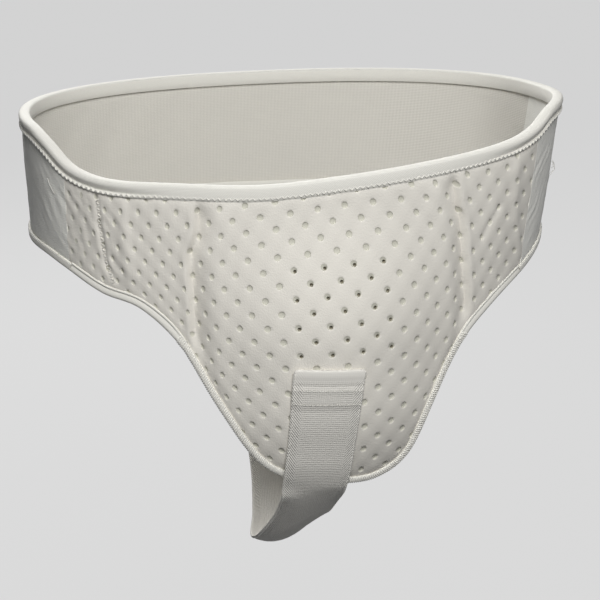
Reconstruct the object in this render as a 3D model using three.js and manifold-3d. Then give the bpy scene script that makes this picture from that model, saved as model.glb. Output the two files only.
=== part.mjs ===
// Hernia belt, worn: a perforated foam front with a pouch, plain sides, an elastic back and a strap
// that runs between the legs. Millimetres, +Z up, the front faces -Y, the wearer's left is +X.
// The origin is the middle of the hips. "Around" is a share of half the girth: 0 at the middle of the
// front, 1 at the middle of the back, positive towards the wearer's left.
import * as THREE from "three";
import { mergeVertices } from "three/addons/utils/BufferGeometryUtils.js";
import Module from "manifold-3d";

// The hips the belt keeps the form of
const HIP_WIDTH = 326;
const FRONT_DEPTH = 106;
const BACK_DEPTH = 112;
const HIP_SQUARENESS = 2.3;
const TAPER = 6;            // how much each hip narrows from the belt's top to its side edge
const LEAN = -4;            // how far the lower band sits towards the wearer's right
const TAPER_START = 4;      // the taper, lean and folds start this far below the band's highest place

// Heights from the middle of the hips
const TOP_RISE = 46;
const SIDE_DROP = 40;
const POUCH_DROP = 165;

// The pouch
const CUP_OUT = 16;
const CUP_MIDDLE = -2;
const CUP_HALF_WIDTH = 80;
const TUCK = 34;            // how far the pouch's lower end curves back under
const CREASE_DEPTH = 3;
const RIDGE_HEIGHT = 2.4;
const FOLD_WIDTH = 6.5;
const CUP_TOP = 5;          // the cup starts at this height
// The folds fade out this far from the lower and the upper edge, over these widths
const FADE_LOW_FROM = 6, FADE_LOW_OVER = 18, FADE_TOP_FROM = 4, FADE_TOP_OVER = 12;

// Cloth and gaps
const FRONT_WALL = 4;
const SIDE_WALL = 3;
const BACK_WALL = 2.4;
const GAP = 0.3;
const BINDING_WALL = 1.2;
const TOP_BINDING_HEIGHT = 7;
const LOWER_BINDING_HEIGHT = 4.4;
const BACK_BINDING_HEIGHT = 5.2;
const TAB_WALL = 1.8;
const TAB_INSET = 9;

// Perforations that go right through
const HOLE_WIDTH = 3;
const HOLE_PITCH = 17.2;
const HOLE_ROW = 8;
const HOLE_ROWS = 7;
const HOLES_ACROSS = 4;
const HOLE_TILT = 0.065;
const WINDOW_MIDDLE = 5;
const WINDOW_DROP = 56;

// The strap between the legs
const STRAP_WIDTH = 41;
const STRAP_WALL = 1.7;
const HEM_LENGTH = 23;
const STRAP_TOP_DROP = 89;
const STRAP_TOP_SIDE = -1;
const STRAP_LOW_SIDE = -7.5;
const CROTCH_DROP = 76;     // from the pouch's lower edge down to the strap's lowest place
const STRAP_BACK_OVERLAP = 34;
const STRAP_LEAD = 12;      // its route starts this far up each end, so that it leaves them straight
const STRAP_CLEAR = 1;      // its clearance from the binding it crosses, in front below it
const STRAP_BACK_CLEAR = 2;
const HEM_FADE = 1.5;
const STRAP_FREE_STEPS = 26;

// How fine the facets are
const FACET = 6.2;
const BACK_FACET = 13;
const FRONT_ROWS = 15;
const BAND_ROWS = 4;

// Where the pieces meet, as shares around
const SEAM_RIGHT = -0.352;
const SEAM_LEFT = 0.318;
const BACK_SEAM = 0.54;
const TAB_FROM = 0.6;
const TAB_TO = 0.76;

// The belt's upper edge: rise is a share of TOP_RISE
const TOP_EDGE = [
  { around: -1.0, rise: 0.93 }, { around: -0.55, rise: 0.89 }, { around: -0.43, rise: 0.87 },
  { around: -0.385, rise: 0.73 }, { around: -0.34, rise: 0.47 }, { around: -0.29, rise: 0.36 },
  { around: -0.2, rise: 0.35 }, { around: -0.09, rise: 0.33 }, { around: 0.0, rise: 0.39 },
  { around: 0.14, rise: 0.52 }, { around: 0.26, rise: 0.65 }, { around: 0.305, rise: 0.76 },
  { around: 0.345, rise: 0.94 }, { around: 0.41, rise: 1.0 }, { around: 0.55, rise: 0.97 },
  { around: 1.0, rise: 0.93 },
];
// The lower edge: drop is a share of the way from SIDE_DROP down to POUCH_DROP
const LOWER_EDGE = [
  { around: -1.0, drop: 0.0 }, { around: -0.5, drop: -0.04 }, { around: -0.41, drop: -0.04 },
  { around: -0.36, drop: 0.0 }, { around: -0.3, drop: 0.088 }, { around: -0.245, drop: 0.145 },
  { around: -0.19, drop: 0.325 }, { around: -0.14, drop: 0.61 }, { around: -0.09, drop: 0.855 },
  { around: -0.04, drop: 0.955 }, { around: 0.03, drop: 0.995 }, { around: 0.08, drop: 0.99 },
  { around: 0.124, drop: 0.895 }, { around: 0.16, drop: 0.66 }, { around: 0.194, drop: 0.47 },
  { around: 0.233, drop: 0.31 }, { around: 0.3, drop: 0.155 }, { around: 0.42, drop: 0.02 },
  { around: 0.55, drop: 0.0 }, { around: 1.0, drop: 0.0 },
];
// The folds worn into the front: depth is a share of CREASE_DEPTH inwards or RIDGE_HEIGHT outwards;
// high and low are the places around at the hip centre's height plus and minus half the band
const FOLDS = [
  { high: -0.17, low: -0.175, out: 0, into: 1 },
  { high: 0.158, low: 0.196, out: 0, into: 1 },
  { high: -0.267, low: -0.256, out: 1, into: 0 },
  { high: 0.268, low: 0.294, out: 1, into: 0 },
];
// The strap's free run under the pouch: back is a share of the way to the back band, down a share of
// CROTCH_DROP, side in millimetres, cupped and rolled in degrees over the strap's width
const STRAP_RUN = [
  { back: 0.075, down: 0.36, side: -13.5, cupped: 40, rolled: -6 },
  { back: 0.17, down: 0.68, side: -19, cupped: 85, rolled: -14 },
  { back: 0.28, down: 0.88, side: -19, cupped: 105, rolled: -16 },
  { back: 0.45, down: 1.0, side: -11, cupped: 95, rolled: -8 },
  { back: 0.66, down: 0.93, side: -3, cupped: 70, rolled: 0 },
  { back: 0.86, down: 0.55, side: 1, cupped: 35, rolled: 0 },
  { back: 0.965, down: -0.1, side: 1, cupped: 10, rolled: 0 },
];

const wasm = await Module();
wasm.setup();

const clamp = (v, low, high) => Math.min(high, Math.max(low, v));
const mix = (a, b, t) => a + (b - a) * t;
const smooth = (t) => { const c = clamp(t, 0, 1); return c * c * (3 - 2 * c); };
const power = (v, p) => Math.sign(v) * Math.abs(v) ** p;
const wrap = (around) => (around > 1 ? around - 2 : around < -1 ? around + 2 : around);

// A smooth reading of a short table: value of column `read` where column `by` equals `at`
function look(table, by, read, at) {
  const last = table.length - 1;
  const v = clamp(at, table[0][by], table[last][by]);
  let k = 0;
  while (k < last - 1 && table[k + 1][by] < v) k++;
  const slope = (i) => {
    const a = table[Math.max(0, i - 1)], b = table[Math.min(last, i + 1)];
    return (b[read] - a[read]) / (b[by] - a[by]);
  };
  const from = table[k], to = table[k + 1], span = to[by] - from[by];
  const t = (v - from[by]) / span;
  return from[read] * (1 + 2 * t) * (1 - t) ** 2 + slope(k) * span * t * (1 - t) ** 2
    + to[read] * t * t * (3 - 2 * t) + slope(k + 1) * span * t * t * (t - 1);
}

// The hips' outline from above, by the turn from the front, and its length to read shares by
function hipOutline(turn, halfWidth) {
  const s = Math.sin(turn), c = Math.cos(turn), p = 2 / HIP_SQUARENESS;
  return [halfWidth * power(s, p), -(c > 0 ? FRONT_DEPTH : BACK_DEPTH) * power(c, p)];
}
const TURN_STEPS = 1440;
const lengths = [0];
for (let i = 1; i <= TURN_STEPS; i++) {
  const [x0, y0] = hipOutline(Math.PI * (i - 1) / TURN_STEPS, HIP_WIDTH / 2);
  const [x1, y1] = hipOutline(Math.PI * i / TURN_STEPS, HIP_WIDTH / 2);
  lengths.push(lengths[i - 1] + Math.hypot(x1 - x0, y1 - y0));
}
const HALF_GIRTH = lengths[TURN_STEPS];
function turnAt(around) {
  const at = wrap(around), wanted = Math.abs(at) * HALF_GIRTH;
  let low = 0, high = TURN_STEPS;
  while (high - low > 1) {
    const middle = (low + high) >> 1;
    if (lengths[middle] <= wanted) low = middle; else high = middle;
  }
  const t = (wanted - lengths[low]) / (lengths[high] - lengths[low]);
  return Math.sign(at) * Math.PI * (low + t) / TURN_STEPS;
}

// The body's surface under the belt
const TUCK_TOP = -0.68 * POUCH_DROP, TUCK_SPAN = 0.545 * POUCH_DROP, CUP_RISE = 0.515 * POUCH_DROP;
function body(around, z) {
  const turn = turnAt(around);
  const down = clamp((TOP_RISE - TAPER_START - z) / (TOP_RISE + SIDE_DROP), 0, 1.6);
  let [x, y] = hipOutline(turn, HIP_WIDTH / 2 - TAPER * down);
  x += LEAN * down;
  if (Math.cos(turn) > 0) {
    const r = clamp(Math.abs(x - CUP_MIDDLE) / CUP_HALF_WIDTH, 0, 1);
    y -= CUP_OUT * (1 - r * r) ** 1.5 * smooth((CUP_TOP - z) / CUP_RISE);
    y += TUCK * clamp((TUCK_TOP - z) / TUCK_SPAN, 0, 2) ** 2;
  }
  return new THREE.Vector3(x, y, z);
}
function slopes(around, z) {
  const e = 0.003, h = 1.5;
  const along = body(around + e, z).sub(body(around - e, z)).divideScalar(2 * e);
  const up = body(around, z + h).sub(body(around, z - h)).divideScalar(2 * h);
  return { along, up, out: along.clone().cross(up).normalize() };
}
function relief(around, z) {
  const share = clamp((TOP_RISE - TAPER_START - z) / (TOP_RISE + SIDE_DROP), 0, 1.35);
  let raised = 0;
  for (const fold of FOLDS) {
    const off = (wrap(around) - mix(fold.high, fold.low, share)) * HALF_GIRTH / FOLD_WIDTH;
    raised += (fold.out * RIDGE_HEIGHT - fold.into * CREASE_DEPTH) * Math.exp(-off * off);
  }
  const clear = smooth((z - lowerEdge(around) - FADE_LOW_FROM) / FADE_LOW_OVER)
    * smooth((topEdge(around) - z - FADE_TOP_FROM) / FADE_TOP_OVER);
  return raised * clear;
}
function skin(around, z, out) {
  return body(around, z).addScaledVector(slopes(around, z).out, out + relief(around, z));
}

const topEdge = (around) => TOP_RISE * look(TOP_EDGE, "around", "rise", wrap(around));
const lowerEdge = (around) =>
  -mix(SIDE_DROP, POUCH_DROP, look(LOWER_EDGE, "around", "drop", wrap(around)));
// A place in from the outline by `inwards`, square to that edge and along the surface
function fromEdge(edge, around, inwards) {
  const e = 0.002, z = edge(around);
  const { along, up, out } = slopes(around, z);
  const run = along.clone().addScaledVector(up, (edge(around + e) - edge(around - e)) / (2 * e));
  const inward = out.clone().cross(run).normalize().multiplyScalar(edge === topEdge ? -1 : 1);
  const aa = along.dot(along), uu = up.dot(up), au = along.dot(up);
  const ia = inward.dot(along), iu = inward.dot(up), det = aa * uu - au * au;
  return [around + inwards * (ia * uu - iu * au) / det, z + inwards * (iu * aa - ia * au) / det];
}

const group = new THREE.Group();
group.name = "hernia_belt";
function piece(name, geometry, colour) {
  geometry.computeVertexNormals();
  const material = new THREE.MeshStandardMaterial({ color: colour, roughness: 0.85 });
  material.name = name;
  const mesh = new THREE.Mesh(geometry, material);
  mesh.name = name;
  group.add(mesh);
}
function solid(points, faces) {
  let volume = 0;
  for (const [a, b, c] of faces) {
    volume += points[a].dot(points[b].clone().cross(points[c]));
  }
  const geometry = new THREE.BufferGeometry();
  geometry.setAttribute("position", new THREE.Float32BufferAttribute(
    points.flatMap((p) => [p.x, p.y, p.z]), 3));
  geometry.setIndex(faces.flatMap(([a, b, c]) => (volume > 0 ? [a, b, c] : [a, c, b])));
  return geometry;
}
// A sheet with thickness: place(i, j, side) gives its points, side 1 outside and 0 inside
function slab(columns, rows, place) {
  const points = [], faces = [], wide = rows + 1, half = (columns + 1) * wide;
  for (const side of [1, 0]) {
    for (let i = 0; i <= columns; i++) for (let j = 0; j <= rows; j++) points.push(place(i, j, side));
  }
  for (let i = 0; i < columns; i++) {
    for (let j = 0; j < rows; j++) {
      const a = i * wide + j, b = a + wide, c = b + 1, d = a + 1;
      faces.push([a, b, c], [a, c, d], [a + half, c + half, b + half], [a + half, d + half, c + half]);
    }
  }
  const rim = [];
  for (let i = 0; i < columns; i++) rim.push(i * wide);
  for (let j = 0; j < rows; j++) rim.push(columns * wide + j);
  for (let i = columns; i > 0; i--) rim.push(i * wide + rows);
  for (let j = rows; j > 0; j--) rim.push(j);
  rim.forEach((p, k) => {
    const q = rim[(k + 1) % rim.length];
    faces.push([q, p, p + half], [q, p + half, q + half]);
  });
  return solid(points, faces);
}
// A section carried along stations: place(k, m) gives its points; a closed one has no ends
function sweep(stations, section, place, closed) {
  const points = [], faces = [], n = section.length;
  const count = closed ? stations : stations + 1;
  for (let k = 0; k < count; k++) for (let m = 0; m < n; m++) points.push(place(k, section[m]));
  for (let k = 0; k < stations; k++) {
    const here = k * n, next = ((k + 1) % count) * n;
    for (let m = 0; m < n; m++) {
      const o = (m + 1) % n;
      faces.push([here + m, next + m, next + o], [here + m, next + o, here + o]);
    }
  }
  if (!closed) {
    const flat = section.map(([x, y]) => new THREE.Vector2(x, y));
    const last = stations * n, area = THREE.ShapeUtils.area;
    for (const [a, p, q] of THREE.ShapeUtils.triangulateShape(flat, [])) {
      const agrees = area(flat) * area([flat[a], flat[p], flat[q]]) > 0;
      const [b, c] = agrees ? [p, q] : [q, p];
      faces.push([a, b, c], [last + a, last + c, last + b]);
    }
  }
  return solid(points, faces);
}

// The band's panels, each between two places around
const inset = BINDING_WALL + GAP;
const share = (length) => length / HALF_GIRTH;
function placesAround(from, to, facet) {
  const count = Math.max(3, Math.round((to - from) * HALF_GIRTH / facet));
  return Array.from({ length: count + 1 }, (_, i) => mix(from, to, i / count));
}
// The same places with their two ends drawn in by half a gap, so that neighbours don't touch
function drawnIn(places) {
  const last = places.length - 1, ease = share(GAP / 2);
  return places.map((at, i) => at + (i === 0 ? ease : i === last ? -ease : 0));
}
// A panel between its two bindings: its first and last rows lie where the bindings' folds end, and
// its two ends are upright
function panel(span, rows, inside, outside, lowerFold) {
  const places = drawnIn(span), last = places.length - 1;
  const within = (edge, i, inwards) => {
    const around = places[i];
    if (i > 0 && i < last) return fromEdge(edge, around, inwards);
    const e = 0.002, rise = (edge(around + e) - edge(around - e)) / (2 * e * HALF_GIRTH);
    return [around, edge(around) + inwards * Math.hypot(1, rise) * (edge === topEdge ? -1 : 1)];
  };
  return slab(last, rows, (i, j, side) => {
    let at;
    if (j === 0 || j === rows) at = within(j ? topEdge : lowerEdge, i, inset);
    else {
      const low = within(lowerEdge, i, lowerFold), high = within(topEdge, i, TOP_BINDING_HEIGHT);
      const t = (j - 1) / (rows - 2);
      at = [mix(low[0], high[0], t), mix(low[1], high[1], t)];
    }
    return skin(...at, side ? outside : inside);
  });
}
const frontSpan = placesAround(SEAM_RIGHT, SEAM_LEFT, FACET);
const leftSpan = placesAround(SEAM_LEFT, BACK_SEAM, FACET * 1.6);
const backSpan = placesAround(BACK_SEAM, 2 - BACK_SEAM, BACK_FACET);
const rightSpan = placesAround(2 - BACK_SEAM, 2 + SEAM_RIGHT, FACET * 1.6);
const middle = FRONT_WALL / 2;
const front = panel(frontSpan, FRONT_ROWS, 0, FRONT_WALL, LOWER_BINDING_HEIGHT);

// The perforations in the middle of the pouch, cut through
function manifoldOf(geometry) {
  const g = geometry.clone();
  for (const name of Object.keys(g.attributes)) if (name !== "position") g.deleteAttribute(name);
  const merged = mergeVertices(g, 1e-4);
  return new wasm.Manifold(new wasm.Mesh({
    numProp: 3, vertProperties: new Float32Array(merged.attributes.position.array),
    triVerts: new Uint32Array(merged.index.array),
  }));
}
function holePlaces() {
  const places = [];
  for (let row = 0; row < HOLE_ROWS; row++) {
    const count = row % 2 ? HOLES_ACROSS - 1 : HOLES_ACROSS;
    for (let k = 0; k < count; k++) {
      const off = (k - (count - 1) / 2) * HOLE_PITCH;
      const rise = ((HOLE_ROWS - 1) / 2 - row) * HOLE_ROW;
      places.push({ side: WINDOW_MIDDLE + off - rise * HOLE_TILT,
        z: -WINDOW_DROP + rise + off * HOLE_TILT });
    }
  }
  return places;
}
let pierced = manifoldOf(front);
for (const { side, z } of holePlaces()) {
  const around = share(side - CUP_MIDDLE), { out } = slopes(around, z);
  const pin = new THREE.CylinderGeometry(HOLE_WIDTH / 2, HOLE_WIDTH / 2, FRONT_WALL * 3, 6);
  pin.applyQuaternion(new THREE.Quaternion().setFromUnitVectors(new THREE.Vector3(0, 1, 0), out));
  const at = skin(around, z, middle);
  pin.translate(at.x, at.y, at.z);
  pierced = pierced.subtract(manifoldOf(pin));
}
const cut = pierced.getMesh();
const frontGeometry = new THREE.BufferGeometry();
frontGeometry.setAttribute("position", new THREE.Float32BufferAttribute(cut.vertProperties, 3));
frontGeometry.setIndex([...cut.triVerts]);
piece("front_panel", frontGeometry, 0xefece4);

function centred(wall) { return [middle - wall / 2, middle + wall / 2]; }
const [sideIn, sideOut] = centred(SIDE_WALL), [backIn, backOut] = centred(BACK_WALL);
piece("side_panel_right", panel(rightSpan, BAND_ROWS, sideIn, sideOut, BACK_BINDING_HEIGHT), 0xe6e3dc);
piece("side_panel_left", panel(leftSpan, BAND_ROWS, sideIn, sideOut, BACK_BINDING_HEIGHT), 0xe6e3dc);
piece("back_band", panel(backSpan, BAND_ROWS, backIn, backOut, BACK_BINDING_HEIGHT), 0xe9e6df);

// The fastening tab on the back band, behind the wearer's left hip
const tabColumns = Math.max(3, Math.round((TAB_TO - TAB_FROM) * HALF_GIRTH / BACK_FACET));
piece("fastening_tab", slab(tabColumns, 2, (i, j, side) => {
  const around = mix(TAB_FROM, TAB_TO, i / tabColumns), t = j / 2;
  const z = mix(lowerEdge(around) + TAB_INSET, topEdge(around) - TAB_INSET, t);
  return skin(around, z, backOut + 2 * GAP + side * TAB_WALL);
}), 0xdedbd3);

// Folded bindings: a U around the cloth's edge
function uSection(height) {
  const inner = -GAP, outer = FRONT_WALL + GAP, w = BINDING_WALL;
  return [[height, inner - w], [0.3 * w, inner - w], [0, inner - 0.6 * w], [0, outer + 0.6 * w],
    [0.3 * w, outer + w], [height, outer + w], [height, outer], [w, outer], [w, inner],
    [height, inner]];
}
function binding(edge, places, height, closed) {
  const stations = closed ? places.length : places.length - 1;
  const section = uSection(height);
  if (edge === lowerEdge) section.reverse();
  return sweep(stations, section, (k, [inwards, out]) => {
    const [around, z] = fromEdge(edge, places[k], inwards);
    return skin(around, z, out);
  }, closed);
}
const join = (...spans) => spans.flatMap((span, i) => span.slice(i ? 1 : 0));
piece("top_binding", binding(topEdge, join(frontSpan, leftSpan, backSpan, rightSpan).slice(1),
  TOP_BINDING_HEIGHT, true), 0xf2efe8);
piece("lower_binding_front", binding(lowerEdge, drawnIn(frontSpan), LOWER_BINDING_HEIGHT, false),
  0xf2efe8);
piece("lower_binding_back", binding(lowerEdge, drawnIn(join(leftSpan, backSpan, rightSpan)),
  BACK_BINDING_HEIGHT, false), 0xf2efe8);

// The strap: laid on the pouch, over its lower edge, between the legs and up over the back band
const overPanel = FRONT_WALL + 2 * GAP, overBinding = FRONT_WALL + 4 * GAP + BINDING_WALL;
const strapTop = -STRAP_TOP_DROP, strapLow = lowerEdge(share(STRAP_LOW_SIDE)) - STRAP_CLEAR;
const strapBackLow = lowerEdge(1) - STRAP_BACK_CLEAR, strapBackTop = strapBackLow + STRAP_BACK_OVERLAP;
const overBack = backOut + 2 * GAP + BINDING_WALL + STRAP_CLEAR;
const frontEnd = skin(share(STRAP_LOW_SIDE - CUP_MIDDLE), strapLow, overBinding);
const backEnd = skin(1, strapBackLow, overBack);
const run = STRAP_RUN.map((row) => new THREE.Vector3(row.side,
  mix(frontEnd.y, backEnd.y, row.back), strapLow - CROTCH_DROP * row.down));
const nearFront = skin(share(STRAP_LOW_SIDE - CUP_MIDDLE), strapLow + STRAP_LEAD, overBinding);
const nearBack = skin(1, strapBackLow + STRAP_LEAD, overBack);
const line = new THREE.CatmullRomCurve3([nearFront, frontEnd, ...run, backEnd, nearBack], false,
  "centripetal");
const ACROSS = 6;
function onFront(t, w, side) {
  const z = mix(strapTop, strapLow, t);
  const middleSide = mix(STRAP_TOP_SIDE, STRAP_LOW_SIDE, t) - CUP_MIDDLE;
  const lift = mix(overPanel, overBinding, smooth((t - 0.6) / 0.3));
  const thick = STRAP_WALL * (1 + smooth((HEM_LENGTH - (strapTop - z)) / HEM_FADE));
  return skin(share(middleSide + w), z, lift + side * thick);
}
function onBack(t, w, side) {
  const z = mix(strapBackLow, strapBackTop, t);
  return skin(1 - share(w), z, overBack + side * STRAP_WALL);
}
function free(t, w, side) {
  const spans = run.length + 3, at = (1 + t * (spans - 2)) / spans;
  const centre = line.getPoint(at), tangent = line.getTangent(at).normalize();
  const row = clamp(t * (spans - 2) - 1, -1, run.length);
  const read = (name) => {
    const k = Math.floor(row), f = row - k;
    const value = (i) => (i < 0 || i >= STRAP_RUN.length ? 0 : STRAP_RUN[i][name]);
    return mix(value(k), value(k + 1), smooth(f)) * Math.PI / 180;
  };
  const across = new THREE.Vector3(1, 0, 0).addScaledVector(tangent, -tangent.x).normalize();
  across.applyAxisAngle(tangent, read("rolled"));
  const out = tangent.clone().cross(across).normalize();
  const bend = Math.max(read("cupped"), 1e-3) / STRAP_WIDTH;
  const outwards = out.clone().multiplyScalar(Math.cos(bend * w))
    .addScaledVector(across, Math.sin(bend * w));
  return centre.clone().addScaledVector(across, Math.sin(bend * w) / bend)
    .addScaledVector(out, -(1 - Math.cos(bend * w)) / bend)
    .addScaledVector(outwards, side * STRAP_WALL);
}
const strapRows = [];
for (const t of [0, 0.02, 0.1, 0.2, 0.28, 0.31, 0.4, 0.5, 0.6, 0.7, 0.8, 0.9, 1]) {
  strapRows.push((w, side) => onFront(t, w, side));
}
for (let k = 1; k < STRAP_FREE_STEPS; k++) {
  strapRows.push((w, side) => free(k / STRAP_FREE_STEPS, w, side));
}
for (const t of [0, 0.25, 0.5, 0.75, 1]) strapRows.push((w, side) => onBack(t, w, side));
piece("crotch_strap", slab(ACROSS, strapRows.length - 1, (i, j, side) =>
  strapRows[strapRows.length - 1 - j](mix(-STRAP_WIDTH / 2, STRAP_WIDTH / 2, i / ACROSS), side)),
  0xf4f2ec);

export default group;
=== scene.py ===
# %% [markdown]
# # A worn hernia belt
# The belt has a soft front of perforated foam with a pouch, plain sides, an elastic back, folded
# bindings round its edges and a woven strap that runs between the legs. It keeps the form that it
# takes on the hips. The CAD part gives that form, and this script dresses it: foam that puckers
# round its perforations, ribbed bindings, rows of thread and woven webbing.

# %% Load the frame
import math

import bmesh
import bpy
import numpy as np
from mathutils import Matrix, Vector


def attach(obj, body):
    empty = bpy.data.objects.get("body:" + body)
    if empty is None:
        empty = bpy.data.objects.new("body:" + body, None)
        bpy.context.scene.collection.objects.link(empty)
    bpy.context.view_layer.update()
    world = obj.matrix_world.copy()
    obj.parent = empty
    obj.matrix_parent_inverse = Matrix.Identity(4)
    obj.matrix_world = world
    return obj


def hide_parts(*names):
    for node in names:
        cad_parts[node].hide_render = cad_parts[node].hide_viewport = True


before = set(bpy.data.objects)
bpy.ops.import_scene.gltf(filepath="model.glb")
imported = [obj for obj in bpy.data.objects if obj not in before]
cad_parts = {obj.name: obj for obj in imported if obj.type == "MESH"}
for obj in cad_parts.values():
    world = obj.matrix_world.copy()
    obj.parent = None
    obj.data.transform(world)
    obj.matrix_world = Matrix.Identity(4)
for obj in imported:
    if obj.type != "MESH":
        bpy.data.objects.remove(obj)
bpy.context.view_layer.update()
print("CAD nodes:", ", ".join(sorted(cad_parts)))

# %% [markdown]
# ## The body under the belt
# Every piece follows the hips, so one surface carries them all. It is an outline of the hips seen
# from above, which narrows a little downwards, with a cup for the pouch that bulges forwards and
# tucks back under. Places are given by a share round the hips, 0 at the front and 1 at the back, and
# a height. Working from one rule keeps panels, bindings and stitches on each other, which sculpting
# each by hand would not. The sizes are those of the CAD part, in millimetres.

# %% The hips' sizes
HIP_WIDTH, FRONT_DEPTH, BACK_DEPTH = 326, 106, 112
HIP_SQUARENESS = 2.3
TAPER, TAPER_START, LEAN = 6, 4, -4
TOP_RISE, SIDE_DROP, POUCH_DROP = 46, 40, 165
CUP_OUT, CUP_TOP, CUP_MIDDLE, CUP_HALF_WIDTH, TUCK = 16, 5, -2, 80, 34
TUCK_TOP, TUCK_SPAN, CUP_RISE = -0.68 * POUCH_DROP, 0.545 * POUCH_DROP, 0.515 * POUCH_DROP
FRONT_WALL, SIDE_WALL, BACK_WALL = 4, 3, 2.4
GAP, BINDING_WALL = 0.3, 1.2
INSET = BINDING_WALL + GAP  # how far in from the belt's edges the panels end
SEAM_RIGHT, SEAM_LEFT, BACK_SEAM, SEAM_GAP = -0.352, 0.318, 0.54, 0.05
MM = 0.001


def smooth(t):
    """0 below 0, 1 above 1, and an even curve between."""
    t = np.clip(t, 0, 1)
    return t * t * (3 - 2 * t)


def mix(a, b, t):
    """The value a share t of the way from a to b."""
    return a + (b - a) * t


def bump_at(v, middle, width):
    """A soft hill of height 1 round its middle."""
    return np.exp(-(((v - middle) / width) ** 2))


def power(v, p):
    """A power that keeps the sign."""
    return np.sign(v) * np.abs(v) ** p


def wrap(around):
    """A share round the hips, brought back between -1 and 1."""
    return (np.asarray(around, float) + 1) % 2 - 1


def hip_outline(turn, half_width):
    """The hips from above, by the turn from the front."""
    c = np.cos(turn)
    depth = np.where(c > 0, FRONT_DEPTH, BACK_DEPTH)
    return half_width * power(np.sin(turn), 2 / HIP_SQUARENESS), -depth * power(c, 2 / HIP_SQUARENESS)


TURNS = np.linspace(0, math.pi, 1441)
outline_x, outline_y = hip_outline(TURNS, HIP_WIDTH / 2)
LENGTHS = np.concatenate([[0], np.cumsum(np.hypot(np.diff(outline_x), np.diff(outline_y)))])
HALF_GIRTH = LENGTHS[-1]
SEAM_END = SEAM_GAP / HALF_GIRTH
print(f"half the girth is {HALF_GIRTH:.0f} mm")

# %% The surface that carries the belt


def body(around, z):
    """The surface of the hips and the pouch, in millimetres."""
    at = wrap(around)
    turn = np.sign(at) * np.interp(np.abs(at) * HALF_GIRTH, LENGTHS, TURNS)
    down = np.clip((TOP_RISE - TAPER_START - z) / (TOP_RISE + SIDE_DROP), 0, 1.6)
    x, y = hip_outline(turn, HIP_WIDTH / 2 - TAPER * down)
    x = x + LEAN * down
    r = np.clip(np.abs(x - CUP_MIDDLE) / CUP_HALF_WIDTH, 0, 1)
    cup = CUP_OUT * (1 - r * r) ** 1.5 * smooth((CUP_TOP - z) / CUP_RISE)
    tuck = TUCK * np.clip((TUCK_TOP - z) / TUCK_SPAN, 0, 2) ** 2
    y = y + np.where(np.cos(turn) > 0, tuck - cup, 0)
    return np.stack(np.broadcast_arrays(x, y, z), -1).astype(float)


def unit(v):
    """The same directions with length 1."""
    return v / np.linalg.norm(v, axis=-1, keepdims=True)


def slopes(around, z):
    """How the surface runs round the hips and upwards, and the way out of it."""
    e, h = 0.003, 1.5
    along = (body(around + e, z) - body(around - e, z)) / (2 * e)
    up = (body(around, z + h) - body(around, z - h)) / (2 * h)
    return along, up, unit(np.cross(along, up))


def look_through(places, values, at):
    """A smooth curve through the values at these places, read at other places."""
    last = len(places) - 1
    v = np.clip(at, places[0], places[-1])
    k = np.clip(np.searchsorted(places, v, side="right") - 1, 0, last - 1)
    low, high = np.clip(np.arange(last + 1) - 1, 0, last), np.clip(np.arange(last + 1) + 1, 0, last)
    wide = (slice(None),) + (None,) * (values.ndim - 1)
    slope = (values[high] - values[low]) / (places[high] - places[low])[wide]
    span = places[k + 1] - places[k]
    t = (v - places[k]) / span
    more = (...,) + (None,) * (values.ndim - 1)
    t, span = t[more], span[more]
    start = values[k] * (1 + 2 * t) * (1 - t) ** 2 + slope[k] * span * t * (1 - t) ** 2
    return start + values[k + 1] * t * t * (3 - 2 * t) + slope[k + 1] * span * t * t * (t - 1)


def look(table, at):
    """A smooth reading of a short table of places and values."""
    places, values = np.array(table, float).T
    return look_through(places, values, at)


# %% [markdown]
# ## The belt's edges
# The upper edge dips at the front and climbs over the hips, and the lower edge drops into the pouch.
# Two short tables hold them, read smoothly: the first column is the share round the hips, the second
# a share of the rise or the drop. A binding and the panel inside it both start from these edges.

# %% Upper and lower edge
TOP_EDGE = [
    (-1.0, 0.93), (-0.55, 0.89), (-0.43, 0.87), (-0.385, 0.73), (-0.34, 0.47), (-0.29, 0.36),
    (-0.2, 0.35), (-0.09, 0.33), (0.0, 0.39), (0.14, 0.52), (0.26, 0.65), (0.305, 0.76),
    (0.345, 0.94), (0.41, 1.0), (0.55, 0.97), (1.0, 0.93),
]
LOWER_EDGE = [
    (-1.0, 0.0), (-0.5, -0.04), (-0.41, -0.04), (-0.36, 0.0), (-0.3, 0.088), (-0.245, 0.145),
    (-0.19, 0.325), (-0.14, 0.61), (-0.09, 0.855), (-0.04, 0.955), (0.03, 0.995), (0.08, 0.99),
    (0.124, 0.895), (0.16, 0.66), (0.194, 0.47), (0.233, 0.31), (0.3, 0.155), (0.42, 0.02),
    (0.55, 0.0), (1.0, 0.0),
]


def top_edge(around):
    """The height of the belt's upper edge."""
    return TOP_RISE * look(TOP_EDGE, wrap(around))


def lower_edge(around):
    """The height of the belt's lower edge."""
    return -mix(SIDE_DROP, POUCH_DROP, look(LOWER_EDGE, wrap(around)))


def from_edge(edge, around, inwards):
    """The place in from an edge, square to it along the surface: its share around and its height."""
    e = 0.002
    z = edge(around)
    along, up, out = slopes(around, z)
    rise = (edge(around + e) - edge(around - e)) / (2 * e)
    side = -1 if edge is top_edge else 1
    inward = unit(np.cross(out, along + up * rise[..., None])) * side
    aa, uu, au = (along**2).sum(-1), (up**2).sum(-1), (along * up).sum(-1)
    ia, iu = (inward * along).sum(-1), (inward * up).sum(-1)
    det = aa * uu - au * au
    return around + inwards * (ia * uu - iu * au) / det, z + inwards * (iu * aa - ia * au) / det


print(f"at the front the edges are at {top_edge(0):.0f} and {lower_edge(0):.0f} mm")

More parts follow.
